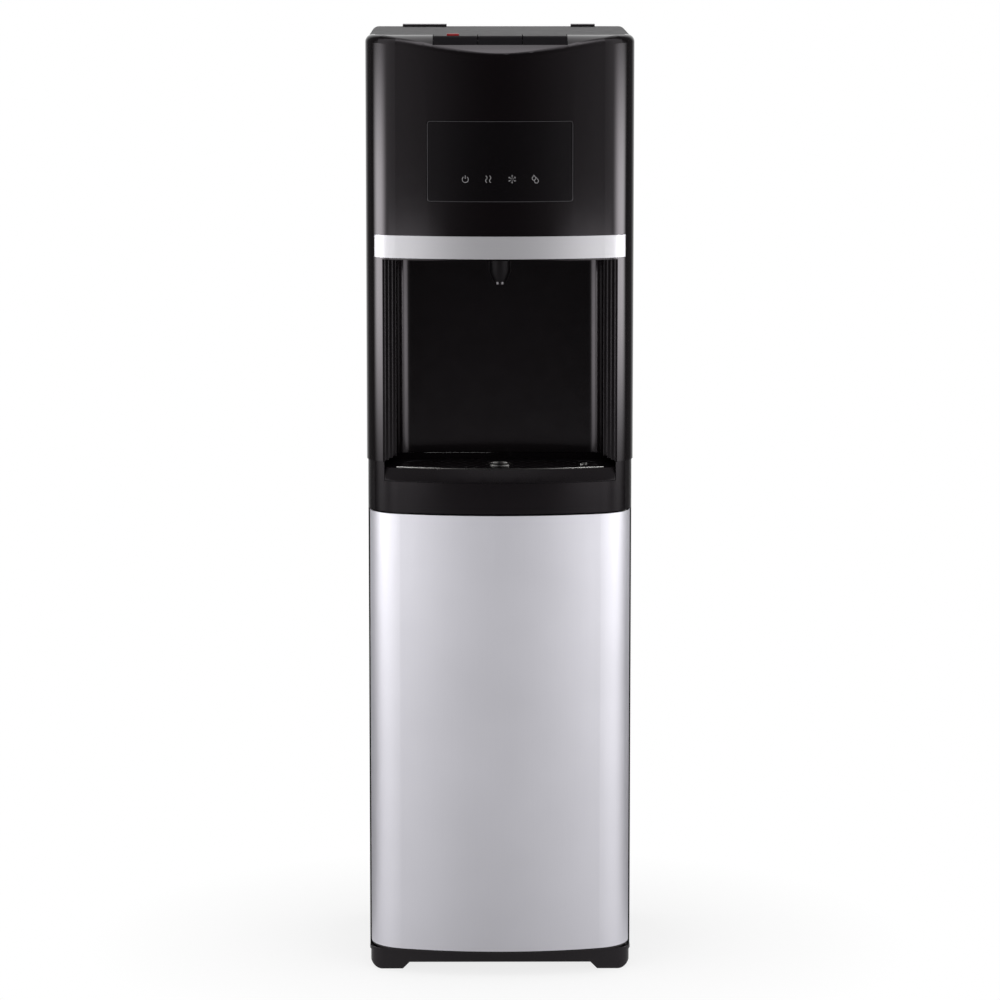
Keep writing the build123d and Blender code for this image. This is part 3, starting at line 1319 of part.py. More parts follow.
with BuildPart() as foam_jacket:
    add(post([(COLD_X, cold_y)], foam_z, cold_top, foam_radius, ROUND_SIDES))
    add(post([(COLD_X, cold_y)], cold_z, cold_top, foam_bore, ROUND_SIDES), mode=Mode.SUBTRACT)
    add(post(nipple_spots, foam_z, cold_z, NIPPLE_RADIUS + SEAM, SMALL_SIDES), mode=Mode.SUBTRACT)
write(foam_jacket, "foam_jacket")

# Hoses from the tanks to the valves
line_start = behind(VALVE_DEPTH + VALVE_RADIUS + BARB_LENGTH)
line_turn = line_start + HOSE_STRAIGHT


def valve_line(x, tank_x, tank_y, tank_z):
    """A hose up from a tank nipple and forward to a valve inlet."""
    points = [
        (tank_x, tank_y, tank_z),
        (tank_x, tank_y, VALVE_LINE_Z),
        (x, line_turn, VALVE_LINE_Z),
        (x, line_start, VALVE_LINE_Z),
    ]
    return tube_along(points, [HOSE_BEND, HOSE_BEND], HOSE_RADIUS)


tank_outlet = cold_top + NIPPLE_RISE
with BuildPart() as valve_hoses:
    add(valve_line(-KEY_PITCH, HOT_X, hot_y, hot_top + NIPPLE_RISE))
    add(valve_line(0, near_x, cold_y, tank_outlet))
    add(valve_line(KEY_PITCH, COLD_X, cold_y, tank_outlet))
write(valve_hoses, "valve_hoses")

# Lower hoses: cold tank to hot tank, pump to cold tank and probe to pump, one group
feed_top = foam_z - NIPPLE_RISE
pump_y = behind(PUMP_DEPTH)
probe_top = MID_SHELF_Z
feed_z = FEED_LEVEL - HOSE_STRAIGHT
link_points = [
    (near_x, cold_y, feed_top),
    (near_x, cold_y, FEED_LEVEL),
    (HOT_X, hot_y, FEED_LEVEL),
    (HOT_X, hot_y, hot_z - NIPPLE_RISE),
]
feed_points = [
    (PUMP_X + PUMP_PORT, pump_y, pump_top + NIPPLE_RISE),
    (PUMP_X + PUMP_PORT, pump_y, feed_z),
    (COLD_X, cold_y, feed_z),
    (COLD_X, cold_y, feed_top),
]
suction_points = [
    (PROBE_X, probe_y, probe_top + SHELF_SHEET + NIPPLE_RISE),
    (PROBE_X, probe_y, pump_port_z),
    (PROBE_X, behind(PUMP_DEPTH + PUMP_RADIUS + NIPPLE_RISE), pump_port_z),
]
with BuildPart() as lower_hoses:
    for points in (link_points, feed_points, suction_points):
        add(tube_along(points, [HOSE_BEND] * (len(points) - 2), HOSE_RADIUS))
write(lower_hoses, "lower_hoses")

# Pump: motor on a base, with a head that has a rear inlet and a top outlet
with BuildPart() as water_pump:
    pump_base = MID_SHELF_Z + SHELF_SHEET
    with Locations((PUMP_X, pump_y, pump_base)):
        Box(2 * PUMP_RADIUS, 2 * PUMP_RADIUS, PUMP_BASE, align=(Align.CENTER, Align.CENTER, Align.MIN))
    motor_z = pump_base + PUMP_BASE
    add(post([(PUMP_X, pump_y)], motor_z, motor_z + PUMP_MOTOR, PUMP_RADIUS - SHEET, ROUND_SIDES))
    with Locations((PUMP_X, pump_y, pump_base + PUMP_BASE + PUMP_MOTOR)):
        Box(2 * PUMP_RADIUS, 2 * PUMP_RADIUS, PUMP_HEAD, align=(Align.CENTER, Align.CENTER, Align.MIN))
    add(post([(PUMP_X + PUMP_PORT, pump_y)], pump_top, pump_top + NIPPLE_RISE, BARB_RADIUS, HOSE_SIDES))
    with BuildSketch(front_plane(PUMP_DEPTH)):
        with Locations((PROBE_X, pump_port_z)):
            RegularPolygon(BARB_RADIUS, HOSE_SIDES)
    extrude(amount=-(PUMP_RADIUS + NIPPLE_RISE))
write(water_pump, "water_pump")

# Suction probe: dip tube with a grip, hung in the hole of the mid shelf
probe_grip_z = probe_top - PROBE_HEAD_HEIGHT
with BuildPart() as suction_probe:
    probe_spot = (PROBE_X, probe_y)
    add(post([probe_spot], PROBE_LOW, probe_grip_z, PROBE_RADIUS, SMALL_SIDES))
    add(post([probe_spot], probe_grip_z, probe_top, PROBE_HEAD_RADIUS, SMALL_SIDES))
    chamfer(suction_probe.faces().sort_by(Axis.Z)[-1].edges(), PROBE_HEAD_RADIUS / 4)
    add(post([probe_spot], probe_top, probe_top + SHELF_SHEET + NIPPLE_RISE, BARB_RADIUS, HOSE_SIDES))
    with Locations((PROBE_X, probe_y, PROBE_LOW)):
        Box(3 * PROBE_RADIUS, BARB_RADIUS, 2 * BARB_LENGTH, mode=Mode.SUBTRACT)
write(suction_probe, "suction_probe")

# Compressor can on its plate, and its rubber mounts
compressor_y = behind(COMPRESSOR_DEPTH)
mount_z = MID_SHELF_Z + SHELF_SHEET
plate_z = mount_z + MOUNT_HEIGHT
with BuildPart() as compressor:
    with BuildSketch(Plane.XY.offset(plate_z)):
        with Locations((COMPRESSOR_X, compressor_y)):
            Rectangle(2 * COMPRESSOR_FOOT_HALF, 2 * COMPRESSOR_RADIUS)
    extrude(amount=COMPRESSOR_PLATE)
    can_low = plate_z + COMPRESSOR_PLATE
    can_high = can_low + COMPRESSOR_HEIGHT
    add(post([(COMPRESSOR_X, compressor_y)], can_low, can_high, COMPRESSOR_RADIUS, ROUND_SIDES))
    chamfer(compressor.faces().sort_by(Axis.Z)[-1].edges(), COMPRESSOR_DOME)
write(compressor, "compressor")

with BuildPart() as compressor_mounts:
    for side_x in (-MOUNT_X, MOUNT_X):
        mount_spots = [(COMPRESSOR_X + side_x, compressor_y + side_y) for side_y in (-MOUNT_Y, MOUNT_Y)]
        add(post(mount_spots, mount_z, plate_z, MOUNT_RADIUS, SMALL_SIDES))
write(compressor_mounts, "compressor_mounts")

# Condenser: one serpentine tube with vertical wires on both faces
with BuildPart() as condenser_tube:
    lead_end = behind(BODY_DEPTH - BARB_LENGTH)
    points = [(-lead_x, lead_end, LOWEST_PASS), (-lead_x, condenser_y, LOWEST_PASS)]
    radii = [LEAD_BEND]
    side = 1
    for index in range(PASSES - 1):
        level = LOWEST_PASS + index * PASS_PITCH
        points.append((side * lead_x, condenser_y, level))
        points.append((side * lead_x, condenser_y, level + PASS_PITCH))
        radii += [PASS_PITCH / 2 - TUBE_RADIUS, PASS_PITCH / 2 - TUBE_RADIUS]
        side = -side
    points += [(lead_x, condenser_y, top_pass), (lead_x, lead_end, top_pass)]
    radii.append(LEAD_BEND)
    add(tube_along(points, radii, TUBE_RADIUS))
write(condenser_tube, "condenser_tube")

wire_low = LOWEST_PASS - WIRE_OVERHANG
wire_shift = TUBE_RADIUS + WELD_GAP + WIRE_FLATS / 2
wire_x = [(index - (WIRE_COUNT - 1) / 2) * WIRE_PITCH for index in range(WIRE_COUNT)]
with BuildPart() as condenser_wires:
    with BuildSketch(Plane.XY.offset(wire_low)):
        for face_side in (-1, 1):
            wire_y = condenser_y + face_side * wire_shift
            with Locations(*[(x, wire_y) for x in wire_x]):
                RegularPolygon(WIRE_FLATS / 2, HEX_SIDES, major_radius=False)
    extrude(amount=top_pass + WIRE_OVERHANG - wire_low)
write(condenser_wires, "condenser_wires")

# Stand-offs between the rear panel and the condenser
with BuildPart() as condenser_stands:
    stand_front = behind(BODY_DEPTH - SHEET)
    stand_length = condenser_y - TUBE_RADIUS - WELD_GAP - stand_front
    stand_levels = (LOWEST_PASS + PASS_PITCH, top_pass - PASS_PITCH)
    for side in (-1, 1):
        for level in stand_levels:
            with Locations((side * (STAND_X + WIRE_PITCH), stand_front, level)):
                Box(STAND_SIZE / 2, stand_length, STAND_SIZE, align=(Align.CENTER, Align.MIN, Align.CENTER))
write(condenser_stands, "condenser_stands")

# Rear switches: one housing through the panel, two rockers on pins
rocker_levels = (SWITCH_Z - SWITCH_SPACING / 2, SWITCH_Z + SWITCH_SPACING / 2)
pin_length = ROCKER_WIDTH + 2 * ROCKER_GAP + SWITCH_BEZEL - 2 * SEAM
with BuildPart() as switch_housing:
    with BuildSketch(front_plane(BODY_DEPTH - SHEET)):
        with Locations((SWITCH_X, SWITCH_Z)):
            Rectangle(SWITCH_WIDTH, SWITCH_HEIGHT)
    extrude(amount=-SWITCH_BEZEL)
    with BuildSketch(front_plane(BODY_DEPTH - SHEET)):
        with Locations((SWITCH_X, SWITCH_Z)):
            Rectangle(SWITCH_WIDTH - SWITCH_BEZEL, SWITCH_HEIGHT - SWITCH_BEZEL)
    extrude(amount=SWITCH_BODY)
    with BuildSketch(front_plane(BODY_DEPTH - SHEET + SWITCH_BEZEL)):
        with Locations(*[(SWITCH_X, level) for level in rocker_levels]):
            Rectangle(ROCKER_WIDTH + 2 * ROCKER_GAP, ROCKER_HEIGHT + 2 * ROCKER_GAP)
    extrude(amount=SWITCH_BEZEL + ROCKER_DEPTH, mode=Mode.SUBTRACT)
    for level in rocker_levels:
        pivot = (SWITCH_X, behind(BODY_DEPTH - SHEET), level)
        add(bar(pivot, pin_length + 2 * SEAM, ROCKER_PIN + FIT, True), mode=Mode.SUBTRACT)
write(switch_housing, "switch_housing")


def rocker(level):
    """A rocker with a shallow vee face and a pin across it."""
    pivot = behind(BODY_DEPTH - SHEET)
    face = pivot + SWITCH_BEZEL
    half = ROCKER_HEIGHT / 2
    with BuildPart() as tilt:
        with BuildSketch(Plane.YZ.offset(SWITCH_X)):
            with BuildLine():
                Polyline(
                    (pivot - ROCKER_PIN - SHEET, level - half / 2),
                    (face - SHEET, level - half),
                    (face + ROCKER_RISE, level - half),
                    (face + ROCKER_RISE / 3, level),
                    (face + ROCKER_RISE, level + half),
                    (face - SHEET, level + half),
                    (pivot - ROCKER_PIN - SHEET, level + half / 2),
                    close=True,
                )
            make_face()
        extrude(amount=ROCKER_WIDTH / 2, both=True)
        add(bar((SWITCH_X, pivot, level), pin_length, ROCKER_PIN))
    return tilt.part


with BuildPart() as cold_switch:
    add(rocker(rocker_levels[0]))
write(cold_switch, "cold_switch")

with BuildPart() as hot_switch:
    add(rocker(rocker_levels[1]))
write(hot_switch, "hot_switch")

# Drain spout through the rear panel with its screw cap
drain_bore = DRAIN_RADIUS - DOOR_WALL
with BuildPart() as drain_spout:
    with BuildSketch(front_plane(BODY_DEPTH - 2 * SHEET)):
        with Locations((DRAIN_X, DRAIN_Z)):
            RegularPolygon(DRAIN_FLANGE, SMALL_SIDES)
    extrude(amount=DRAIN_FLANGE_THICK)
    with BuildSketch(front_plane(BODY_DEPTH - 2 * SHEET)):
        with Locations((DRAIN_X, DRAIN_Z)):
            RegularPolygon(DRAIN_RADIUS, SMALL_SIDES)
    extrude(amount=-(2 * SHEET + DRAIN_LENGTH))
    with BuildSketch(front_plane(BODY_DEPTH - 2 * SHEET - DRAIN_FLANGE_THICK)):
        with Locations((DRAIN_X, DRAIN_Z)):
            RegularPolygon(DRAIN_RADIUS, SMALL_SIDES)
    extrude(amount=DRAIN_TAIL)
    with BuildSketch(front_plane(BODY_DEPTH + DRAIN_LENGTH)):
        with Locations((DRAIN_X, DRAIN_Z)):
            RegularPolygon(drain_bore, SMALL_SIDES)
    extrude(amount=DRAIN_LENGTH + DRAIN_TAIL, mode=Mode.SUBTRACT)
write(drain_spout, "drain_spout")

cap_end = BODY_DEPTH + DRAIN_LENGTH + SEAM + CAP_END
with BuildPart() as drain_cap:
    with BuildSketch(front_plane(cap_end)):
        with Locations((DRAIN_X, DRAIN_Z)):
            RegularPolygon(CAP_RADIUS, SMALL_SIDES)
    extrude(amount=CAP_LENGTH)
    with BuildSketch(front_plane(cap_end - CAP_END)):
        with Locations((DRAIN_X, DRAIN_Z)):
            RegularPolygon(DRAIN_RADIUS + SEAM, SMALL_SIDES)
    extrude(amount=CAP_LENGTH, mode=Mode.SUBTRACT)
write(drain_cap, "drain_cap")

# Mains cord gland in the rear panel
with BuildPart() as cord_gland:
    with BuildSketch(front_plane(BODY_DEPTH - SHEET)):
        with Locations((GLAND_X, GLAND_Z)):
            RegularPolygon(GLAND_RADIUS + DOOR_WALL, SMALL_SIDES)
    extrude(amount=-DOOR_WALL)
    with BuildSketch(front_plane(BODY_DEPTH - SHEET)):
        with Locations((GLAND_X, GLAND_Z)):
            RegularPolygon(GLAND_RADIUS, SMALL_SIDES)
    extrude(amount=GLAND_LENGTH)
    with BuildSketch(front_plane(BODY_DEPTH + GLAND_LENGTH)):
        with Locations((GLAND_X, GLAND_Z)):
            RegularPolygon(GLAND_BORE, SMALL_SIDES)
    extrude(amount=REACH, mode=Mode.SUBTRACT)
write(cord_gland, "cord_gland")
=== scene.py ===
import json
import math

import bmesh
import bpy
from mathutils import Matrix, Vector
from mathutils.bvhtree import BVHTree


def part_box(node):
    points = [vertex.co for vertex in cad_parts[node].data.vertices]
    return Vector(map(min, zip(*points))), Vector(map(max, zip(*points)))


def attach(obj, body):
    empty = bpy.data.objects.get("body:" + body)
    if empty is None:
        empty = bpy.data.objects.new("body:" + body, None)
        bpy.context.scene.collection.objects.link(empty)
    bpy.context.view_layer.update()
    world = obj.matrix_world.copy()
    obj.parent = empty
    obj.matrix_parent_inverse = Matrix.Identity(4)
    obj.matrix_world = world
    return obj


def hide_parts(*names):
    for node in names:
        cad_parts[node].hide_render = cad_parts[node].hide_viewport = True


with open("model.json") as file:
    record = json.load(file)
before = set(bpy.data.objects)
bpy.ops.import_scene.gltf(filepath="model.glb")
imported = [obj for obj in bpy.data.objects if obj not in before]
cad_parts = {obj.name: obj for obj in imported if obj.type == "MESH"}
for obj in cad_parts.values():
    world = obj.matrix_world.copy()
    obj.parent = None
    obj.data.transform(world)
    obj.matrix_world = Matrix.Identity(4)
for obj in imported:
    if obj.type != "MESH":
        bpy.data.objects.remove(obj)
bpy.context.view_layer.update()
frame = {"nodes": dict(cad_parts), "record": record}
nodes = frame["nodes"]

MM = 0.001
WHITE = (1.0, 1.0, 1.0, 1.0)


# Small helpers for node trees

# Noise lies mostly between these values, so tones are spread over them
NOISE_LOW = 0.3
NOISE_HIGH = 0.7


def add_node(tree, kind, **values):
    """Adds a node and sets its plain properties."""
    node = tree.nodes.new(kind)
    for key, value in values.items():
        setattr(node, key, value)
    return node


def set_inputs(node, **values):
    """Sets the unlinked sockets of a node by name, with underscores for spaces."""
    for key, value in values.items():
        node.inputs[key.replace("_", " ")].default_value = value


def new_material(name):
    """Returns an empty node material with its tree, shader and object coordinates."""
    material = bpy.data.materials.new(name)
    material.use_nodes = True
    tree = material.node_tree
    tree.nodes.clear()
    output = add_node(tree, "ShaderNodeOutputMaterial")
    shader = add_node(tree, "ShaderNodeBsdfPrincipled")
    tree.links.new(shader.outputs["BSDF"], output.inputs["Surface"])
    place = add_node(tree, "ShaderNodeTexCoord")
    return material, tree, shader, place.outputs["Object"]


def stretched(tree, place, scale):
    """Object coordinates multiplied along each axis."""
    mapping = add_node(tree, "ShaderNodeMapping")
    set_inputs(mapping, Scale=scale)
    tree.links.new(place, mapping.inputs["Vector"])
    return mapping.outputs["Vector"]


def noise(tree, vector, scale, detail=3.0, rough=0.55):
    """Fractal noise as a grey value."""
    texture = add_node(tree, "ShaderNodeTexNoise")
    set_inputs(texture, Scale=scale, Detail=detail, Roughness=rough)
    tree.links.new(vector, texture.inputs["Vector"])
    return texture.outputs["Fac"]


def voronoi(tree, vector, scale):
    """A texture of cells, with a distance and a colour for each."""
    texture = add_node(tree, "ShaderNodeTexVoronoi")
    set_inputs(texture, Scale=scale)
    tree.links.new(vector, texture.inputs["Vector"])
    return texture


def spread(tree, value, low, high, start=NOISE_LOW, end=NOISE_HIGH, ease="LINEAR"):
    """Maps a grey value from start..end to low..high."""
    ranged = add_node(tree, "ShaderNodeMapRange", interpolation_type=ease)
    set_inputs(ranged, From_Min=start, From_Max=end, To_Min=low, To_Max=high)
    tree.links.new(value, ranged.inputs["Value"])
    return ranged.outputs["Result"]


def combine(tree, operation, first, second):
    """Two grey values joined, such as by MULTIPLY or MAXIMUM."""
    node = add_node(tree, "ShaderNodeMath", operation=operation)
    tree.links.new(first, node.inputs[0])
    tree.links.new(second, node.inputs[1])
    return node.outputs[0]


def mix_shaders(tree, share, first, second):
    """A shader that goes from the first to the second as the share rises."""
    mix = add_node(tree, "ShaderNodeMixShader")
    tree.links.new(share, mix.inputs["Fac"])
    tree.links.new(first, mix.inputs[1])
    tree.links.new(second, mix.inputs[2])
    return mix.outputs[0]


def blend_colours(tree, value, first, second):
    """A colour between two, picked by a grey value."""
    ramp = add_node(tree, "ShaderNodeValToRGB")
    stops = ramp.color_ramp.elements
    for stop, position, colour in zip(stops, (NOISE_LOW, NOISE_HIGH), (first, second)):
        stop.position = position
        stop.color = (*colour, 1.0)
    tree.links.new(value, ramp.inputs["Fac"])
    return ramp.outputs["Color"]


def bump(tree, shader, height, depth, strength=1.0):
    """Small relief from a grey value, depth in metres."""
    relief = add_node(tree, "ShaderNodeBump")
    set_inputs(relief, Strength=strength, Distance=depth)
    tree.links.new(height, relief.inputs["Height"])
    tree.links.new(relief.outputs["Normal"], shader.inputs["Normal"])


def scaled(colour, factor):
    """A colour made lighter or darker."""
    return tuple(min(1.0, part * factor) for part in colour)


# Materials: a colour, a roughness, the grain's scale and its depth in metres

# Faint cast of the black mouldings' gloss
PLUM = (1.0, 0.93, 0.99)
NO_CAST = (1.0, 1.0, 1.0)
# Quarter turn of the trim's brushing, so that its gloss spreads up and down
UPRIGHT_BLUR = 0.25
# Scales of the slow changes in tone and polish
PLASTIC_TONE = 9.0
PLASTIC_POLISH = 60.0
POLISH_VARY = 0.07
METAL_CLOUD = 4.0
PLASTIC_IOR = 1.5
WINDOW_IOR = 1.49


def plastic(name, colour, roughness, grain, depth, level=0.5, vary=0.25, cast=NO_CAST):
    """Moulded plastic: faint tone shifts, uneven polish and a fine grain."""
    material, tree, shader, place = new_material(name)
    tone = noise(tree, place, PLASTIC_TONE)
    tint = blend_colours(tree, tone, scaled(colour, 1.0 - vary), scaled(colour, 1.0 + vary))
    tree.links.new(tint, shader.inputs["Base Color"])
    polish = noise(tree, place, PLASTIC_POLISH, detail=4.0)
    dull = spread(tree, polish, roughness * (1.0 - POLISH_VARY), roughness * (1.0 + POLISH_VARY))
    tree.links.new(dull, shader.inputs["Roughness"])
    set_inputs(shader, IOR=PLASTIC_IOR, Specular_IOR_Level=level, Specular_Tint=(*cast, 1.0))
    bump(tree, shader, noise(tree, place, grain, detail=2.0), depth)
    return material


def metal(name, colour, roughness, grain, depth, brush=(1.0, 1.0, 1.0), lean=0.0, vary=0.1, turn=0.0):
    """Metal with brush lines stretched along the axis whose scale is small."""
    material, tree, shader, place = new_material(name)
    lines = noise(tree, stretched(tree, place, brush), grain)
    cloud = noise(tree, place, METAL_CLOUD)
    tint = blend_colours(tree, cloud, scaled(colour, 1.0 - vary / 2), scaled(colour, 1.0 + vary / 2))
    tree.links.new(tint, shader.inputs["Base Color"])
    dull = spread(tree, lines, roughness * (1.0 - vary), roughness * (1.0 + vary))
    tree.links.new(dull, shader.inputs["Roughness"])
    set_inputs(shader, Metallic=1.0, Anisotropic=lean, Anisotropic_Rotation=turn)
    bump(tree, shader, lines, depth)
    return material


def smoked(name):
    """Dark clear plastic of the control window."""
    material, tree, shader, place = new_material(name)
    tone = noise(tree, place, scale=12.0)
    tint = blend_colours(tree, tone, first=(0.0020, 0.0016, 0.0020), second=(0.0028, 0.0022, 0.0027))
    tree.links.new(tint, shader.inputs["Base Color"])
    dull = spread(tree, noise(tree, place, scale=45.0), low=0.06, high=0.09)
    tree.links.new(dull, shader.inputs["Roughness"])
    set_inputs(shader, IOR=WINDOW_IOR, Specular_IOR_Level=0.48, Specular_Tint=(*PLUM, 1.0))
    bump(tree, shader, noise(tree, place, scale=30.0, detail=1.0), depth=4e-6)
    return material


def foamed(name):
    """Cut polystyrene: pale cells."""
    material, tree, shader, place = new_material(name)
    distance = voronoi(tree, place, scale=320.0).outputs["Distance"]
    tint = blend_colours(tree, distance, first=(0.86, 0.85, 0.82), second=(0.68, 0.67, 0.64))
    tree.links.new(tint, shader.inputs["Base Color"])
    tree.links.new(spread(tree, distance, low=0.75, high=0.95), shader.inputs["Roughness"])
    bump(tree, shader, distance, depth=3e-4, strength=0.6)
    return material


def galvanised(name):
    """Zinc-coated sheet with its spangle."""
    material, tree, shader, place = new_material(name)
    spangle = add_node(tree, "ShaderNodeSeparateColor")
    tree.links.new(voronoi(tree, place, scale=130.0).outputs["Color"], spangle.inputs["Color"])
    tint = blend_colours(
        tree, spangle.outputs["Red"], first=(0.47, 0.485, 0.495), second=(0.51, 0.52, 0.53)
    )
    tree.links.new(tint, shader.inputs["Base Color"])
    dull = spread(tree, spangle.outputs["Green"], low=0.38, high=0.46, start=0.0, end=1.0)
    tree.links.new(dull, shader.inputs["Roughness"])
    set_inputs(shader, Metallic=0.6)
    bump(tree, shader, noise(tree, place, scale=240.0), depth=8e-6)
    return material


def board(name):
    """Circuit board: green lacquer over lighter tracks."""
    material, tree, shader, place = new_material(name)
    tracks = add_node(tree, "ShaderNodeTexBrick")
    set_inputs(tracks, Scale=180.0, Mortar_Size=0.06, Mortar=(0.025, 0.150, 0.060, 1.0))
    set_inputs(tracks, Color1=(0.010, 0.075, 0.030, 1.0), Color2=(0.012, 0.090, 0.036, 1.0))
    upright = add_node(tree, "ShaderNodeMapping")
    set_inputs(upright, Rotation=(math.radians(90.0), 0.0, 0.0))
    tree.links.new(place, upright.inputs["Vector"])
    tree.links.new(upright.outputs["Vector"], tracks.inputs["Vector"])
    tree.links.new(tracks.outputs["Color"], shader.inputs["Base Color"])
    dull = spread(tree, noise(tree, place, scale=120.0), low=0.28, high=0.42)
    tree.links.new(dull, shader.inputs["Roughness"])
    bump(tree, shader, tracks.outputs["Fac"], depth=3e-5)
    return material


PLASTICS = {
    "gloss_black": dict(
        colour=(0.0026, 0.0016, 0.0020), roughness=0.10, grain=35.0, depth=3e-6,
        level=0.50, vary=0.2, cast=PLUM,
    ),
    "satin_black": dict(
        colour=(0.0045, 0.0034, 0.0040), roughness=0.24, grain=1400.0, depth=1e-5,
        level=0.45, vary=0.2, cast=PLUM,
    ),
    "textured_black": dict(
        colour=(0.0060, 0.0055, 0.0066), roughness=0.46, grain=1800.0, depth=4e-5,
        level=0.22, vary=0.06, cast=PLUM,
    ),
    "tray_black": dict(
        colour=(0.0042, 0.0032, 0.0038), roughness=0.28, grain=1400.0, depth=1e-5,
        level=0.18, vary=0.2, cast=PLUM,
    ),
    "apron_black": dict(
        colour=(0.0030, 0.0020, 0.0026), roughness=0.18, grain=600.0, depth=4e-6,
        level=0.22, vary=0.2, cast=PLUM,
    ),
    "liner_black": dict(
        colour=(0.0030, 0.0020, 0.0025), roughness=0.16, grain=600.0, depth=4e-6,
        level=0.52, vary=0.15, cast=PLUM,
    ),
    "shroud_black": dict(
        colour=(0.0030, 0.0024, 0.0028), roughness=0.40, grain=1400.0, depth=1e-5,
        level=0.15, vary=0.2, cast=PLUM,
    ),
    "cabinet_paint": dict(
        colour=(0.0080, 0.0078, 0.0084), roughness=0.34, grain=900.0, depth=4e-5, level=0.4
    ),
    "black_steel": dict(colour=(0.0090, 0.0090, 0.0100), roughness=0.36, grain=500.0, depth=5e-5),
    "dark_rubber": dict(colour=(0.012, 0.012, 0.012), roughness=0.62, grain=1200.0, depth=6e-5, level=0.4),
    "magnet": dict(colour=(0.035, 0.035, 0.037), roughness=0.5, grain=1000.0, depth=4e-5),
    "red_plastic": dict(
        colour=(0.24, 0.010, 0.012), roughness=0.30, grain=700.0, depth=1e-5, level=0.4, vary=0.15
    ),
    "white_plastic": dict(colour=(0.72, 0.72, 0.70), roughness=0.36, grain=700.0, depth=1.5e-5, vary=0.05),
    "hose_rubber": dict(colour=(0.60, 0.60, 0.57), roughness=0.38, grain=300.0, depth=3e-5, vary=0.08),
    "icon_print": dict(
        colour=(0.34, 0.33, 0.34), roughness=0.45, grain=2500.0, depth=5e-6, level=0.4, vary=0.12
    ),
    "faint_print": dict(
        colour=(0.050, 0.047, 0.052), roughness=0.40, grain=2500.0, depth=5e-6, level=0.4, vary=0.12
    ),
}
METALS = {
    "stainless": dict(
        colour=(0.79, 0.78, 0.835), roughness=0.48, grain=1500.0, depth=2e-6,
        brush=(1.0, 1.0, 0.006), lean=0.3,
    ),
    "silver_trim": dict(
        colour=(0.76, 0.75, 0.78), roughness=0.47, grain=1200.0, depth=1e-6, brush=(0.01, 1.0, 1.0), lean=0.7,
        vary=0.06, turn=UPRIGHT_BLUR,
    ),
    "bright_metal": dict(colour=(0.70, 0.69, 0.67), roughness=0.18, grain=500.0, depth=2e-6),
    "tank_steel": dict(
        colour=(0.60, 0.60, 0.60), roughness=0.27, grain=700.0, depth=4e-6, brush=(1.0, 1.0, 0.05), lean=0.2
    ),
}
OTHERS = {"smoked_window": smoked, "zinc_sheet": galvanised, "foam": foamed, "circuit": board}

materials = {}
for name, look in PLASTICS.items():
    materials[name] = plastic(name, **look)
for name, look in METALS.items():
    materials[name] = metal(name, **look)
for name, make in OTHERS.items():
    materials[name] = make(name)

slot_of = {row["node"]: row["material_slot"] for row in frame["record"]["subparts"]}


# Soft edges: the faces of a node are joined, its sharp edges broken a little, and shading follows the angle

SMOOTH_ANGLE = 35.0
BEVEL_ANGLE = 40.0
BEVEL_SEGMENTS = 2
WELD_GAP = 0.002
# Nodes with edges too short for their width, which the bevel has to give way to
TIGHT_EDGES = ("feet",)
# Width of the broken edges in millimetres
EDGE_WIDTHS = {
    "hot_key": 0.5, "room_key": 0.5, "cold_key": 0.5, "drip_tray": 0.4, "base_pan": 0.6, "feet": 0.8,
    "spout_shroud": 0.4, "switch_housing": 0.6, "hot_switch": 0.4, "cold_switch": 0.4, "drain_cap": 0.6,
    "drain_spout": 0.4, "cord_gland": 0.5, "child_lock": 0.3, "alcove_liner": 0.5, "grille_rings": 0.3,
    "drip_grille": 0.25, "water_pump": 0.6, "control_window": 0.35,
}
# Nodes that look different from the rest of their slot
OWN_LOOKS = {
    "top_cover": "textured_black", "hot_key": "textured_black", "room_key": "textured_black",
    "cold_key": "textured_black", "key_rod": "black_steel", "drip_tray": "tray_black",
    "spout_shroud": "shroud_black", "spout": "gloss_black", "tray_housing": "apron_black",
    "alcove_liner": "liner_black",
}


def smooth_group(angle):
    """Geometry nodes that shade smooth and keep edges sharper than the angle."""
    group = bpy.data.node_groups.new("smooth_by_angle", "GeometryNodeTree")
    group.interface.new_socket("Geometry", in_out="INPUT", socket_type="NodeSocketGeometry")
    group.interface.new_socket("Geometry", in_out="OUTPUT", socket_type="NodeSocketGeometry")
    entry = add_node(group, "NodeGroupInput")
    leave = add_node(group, "NodeGroupOutput")
    faces = add_node(group, "GeometryNodeSetShadeSmooth", domain="FACE")
    edges = add_node(group, "GeometryNodeSetShadeSmooth", domain="EDGE")
    set_inputs(edges, Shade_Smooth=False)
    turn = add_node(group, "GeometryNodeInputMeshEdgeAngle")
    sharper = add_node(group, "FunctionNodeCompare", data_type="FLOAT", operation="GREATER_THAN")
    sharper.inputs[1].default_value = math.radians(angle)
    group.links.new(entry.outputs[0], faces.inputs["Geometry"])
    group.links.new(faces.outputs[0], edges.inputs["Geometry"])
    group.links.new(turn.outputs["Unsigned Angle"], sharper.inputs[0])
    group.links.new(sharper.outputs[0], edges.inputs["Selection"])
    group.links.new(edges.outputs[0], leave.inputs[0])
    return group


smoothing = smooth_group(SMOOTH_ANGLE)


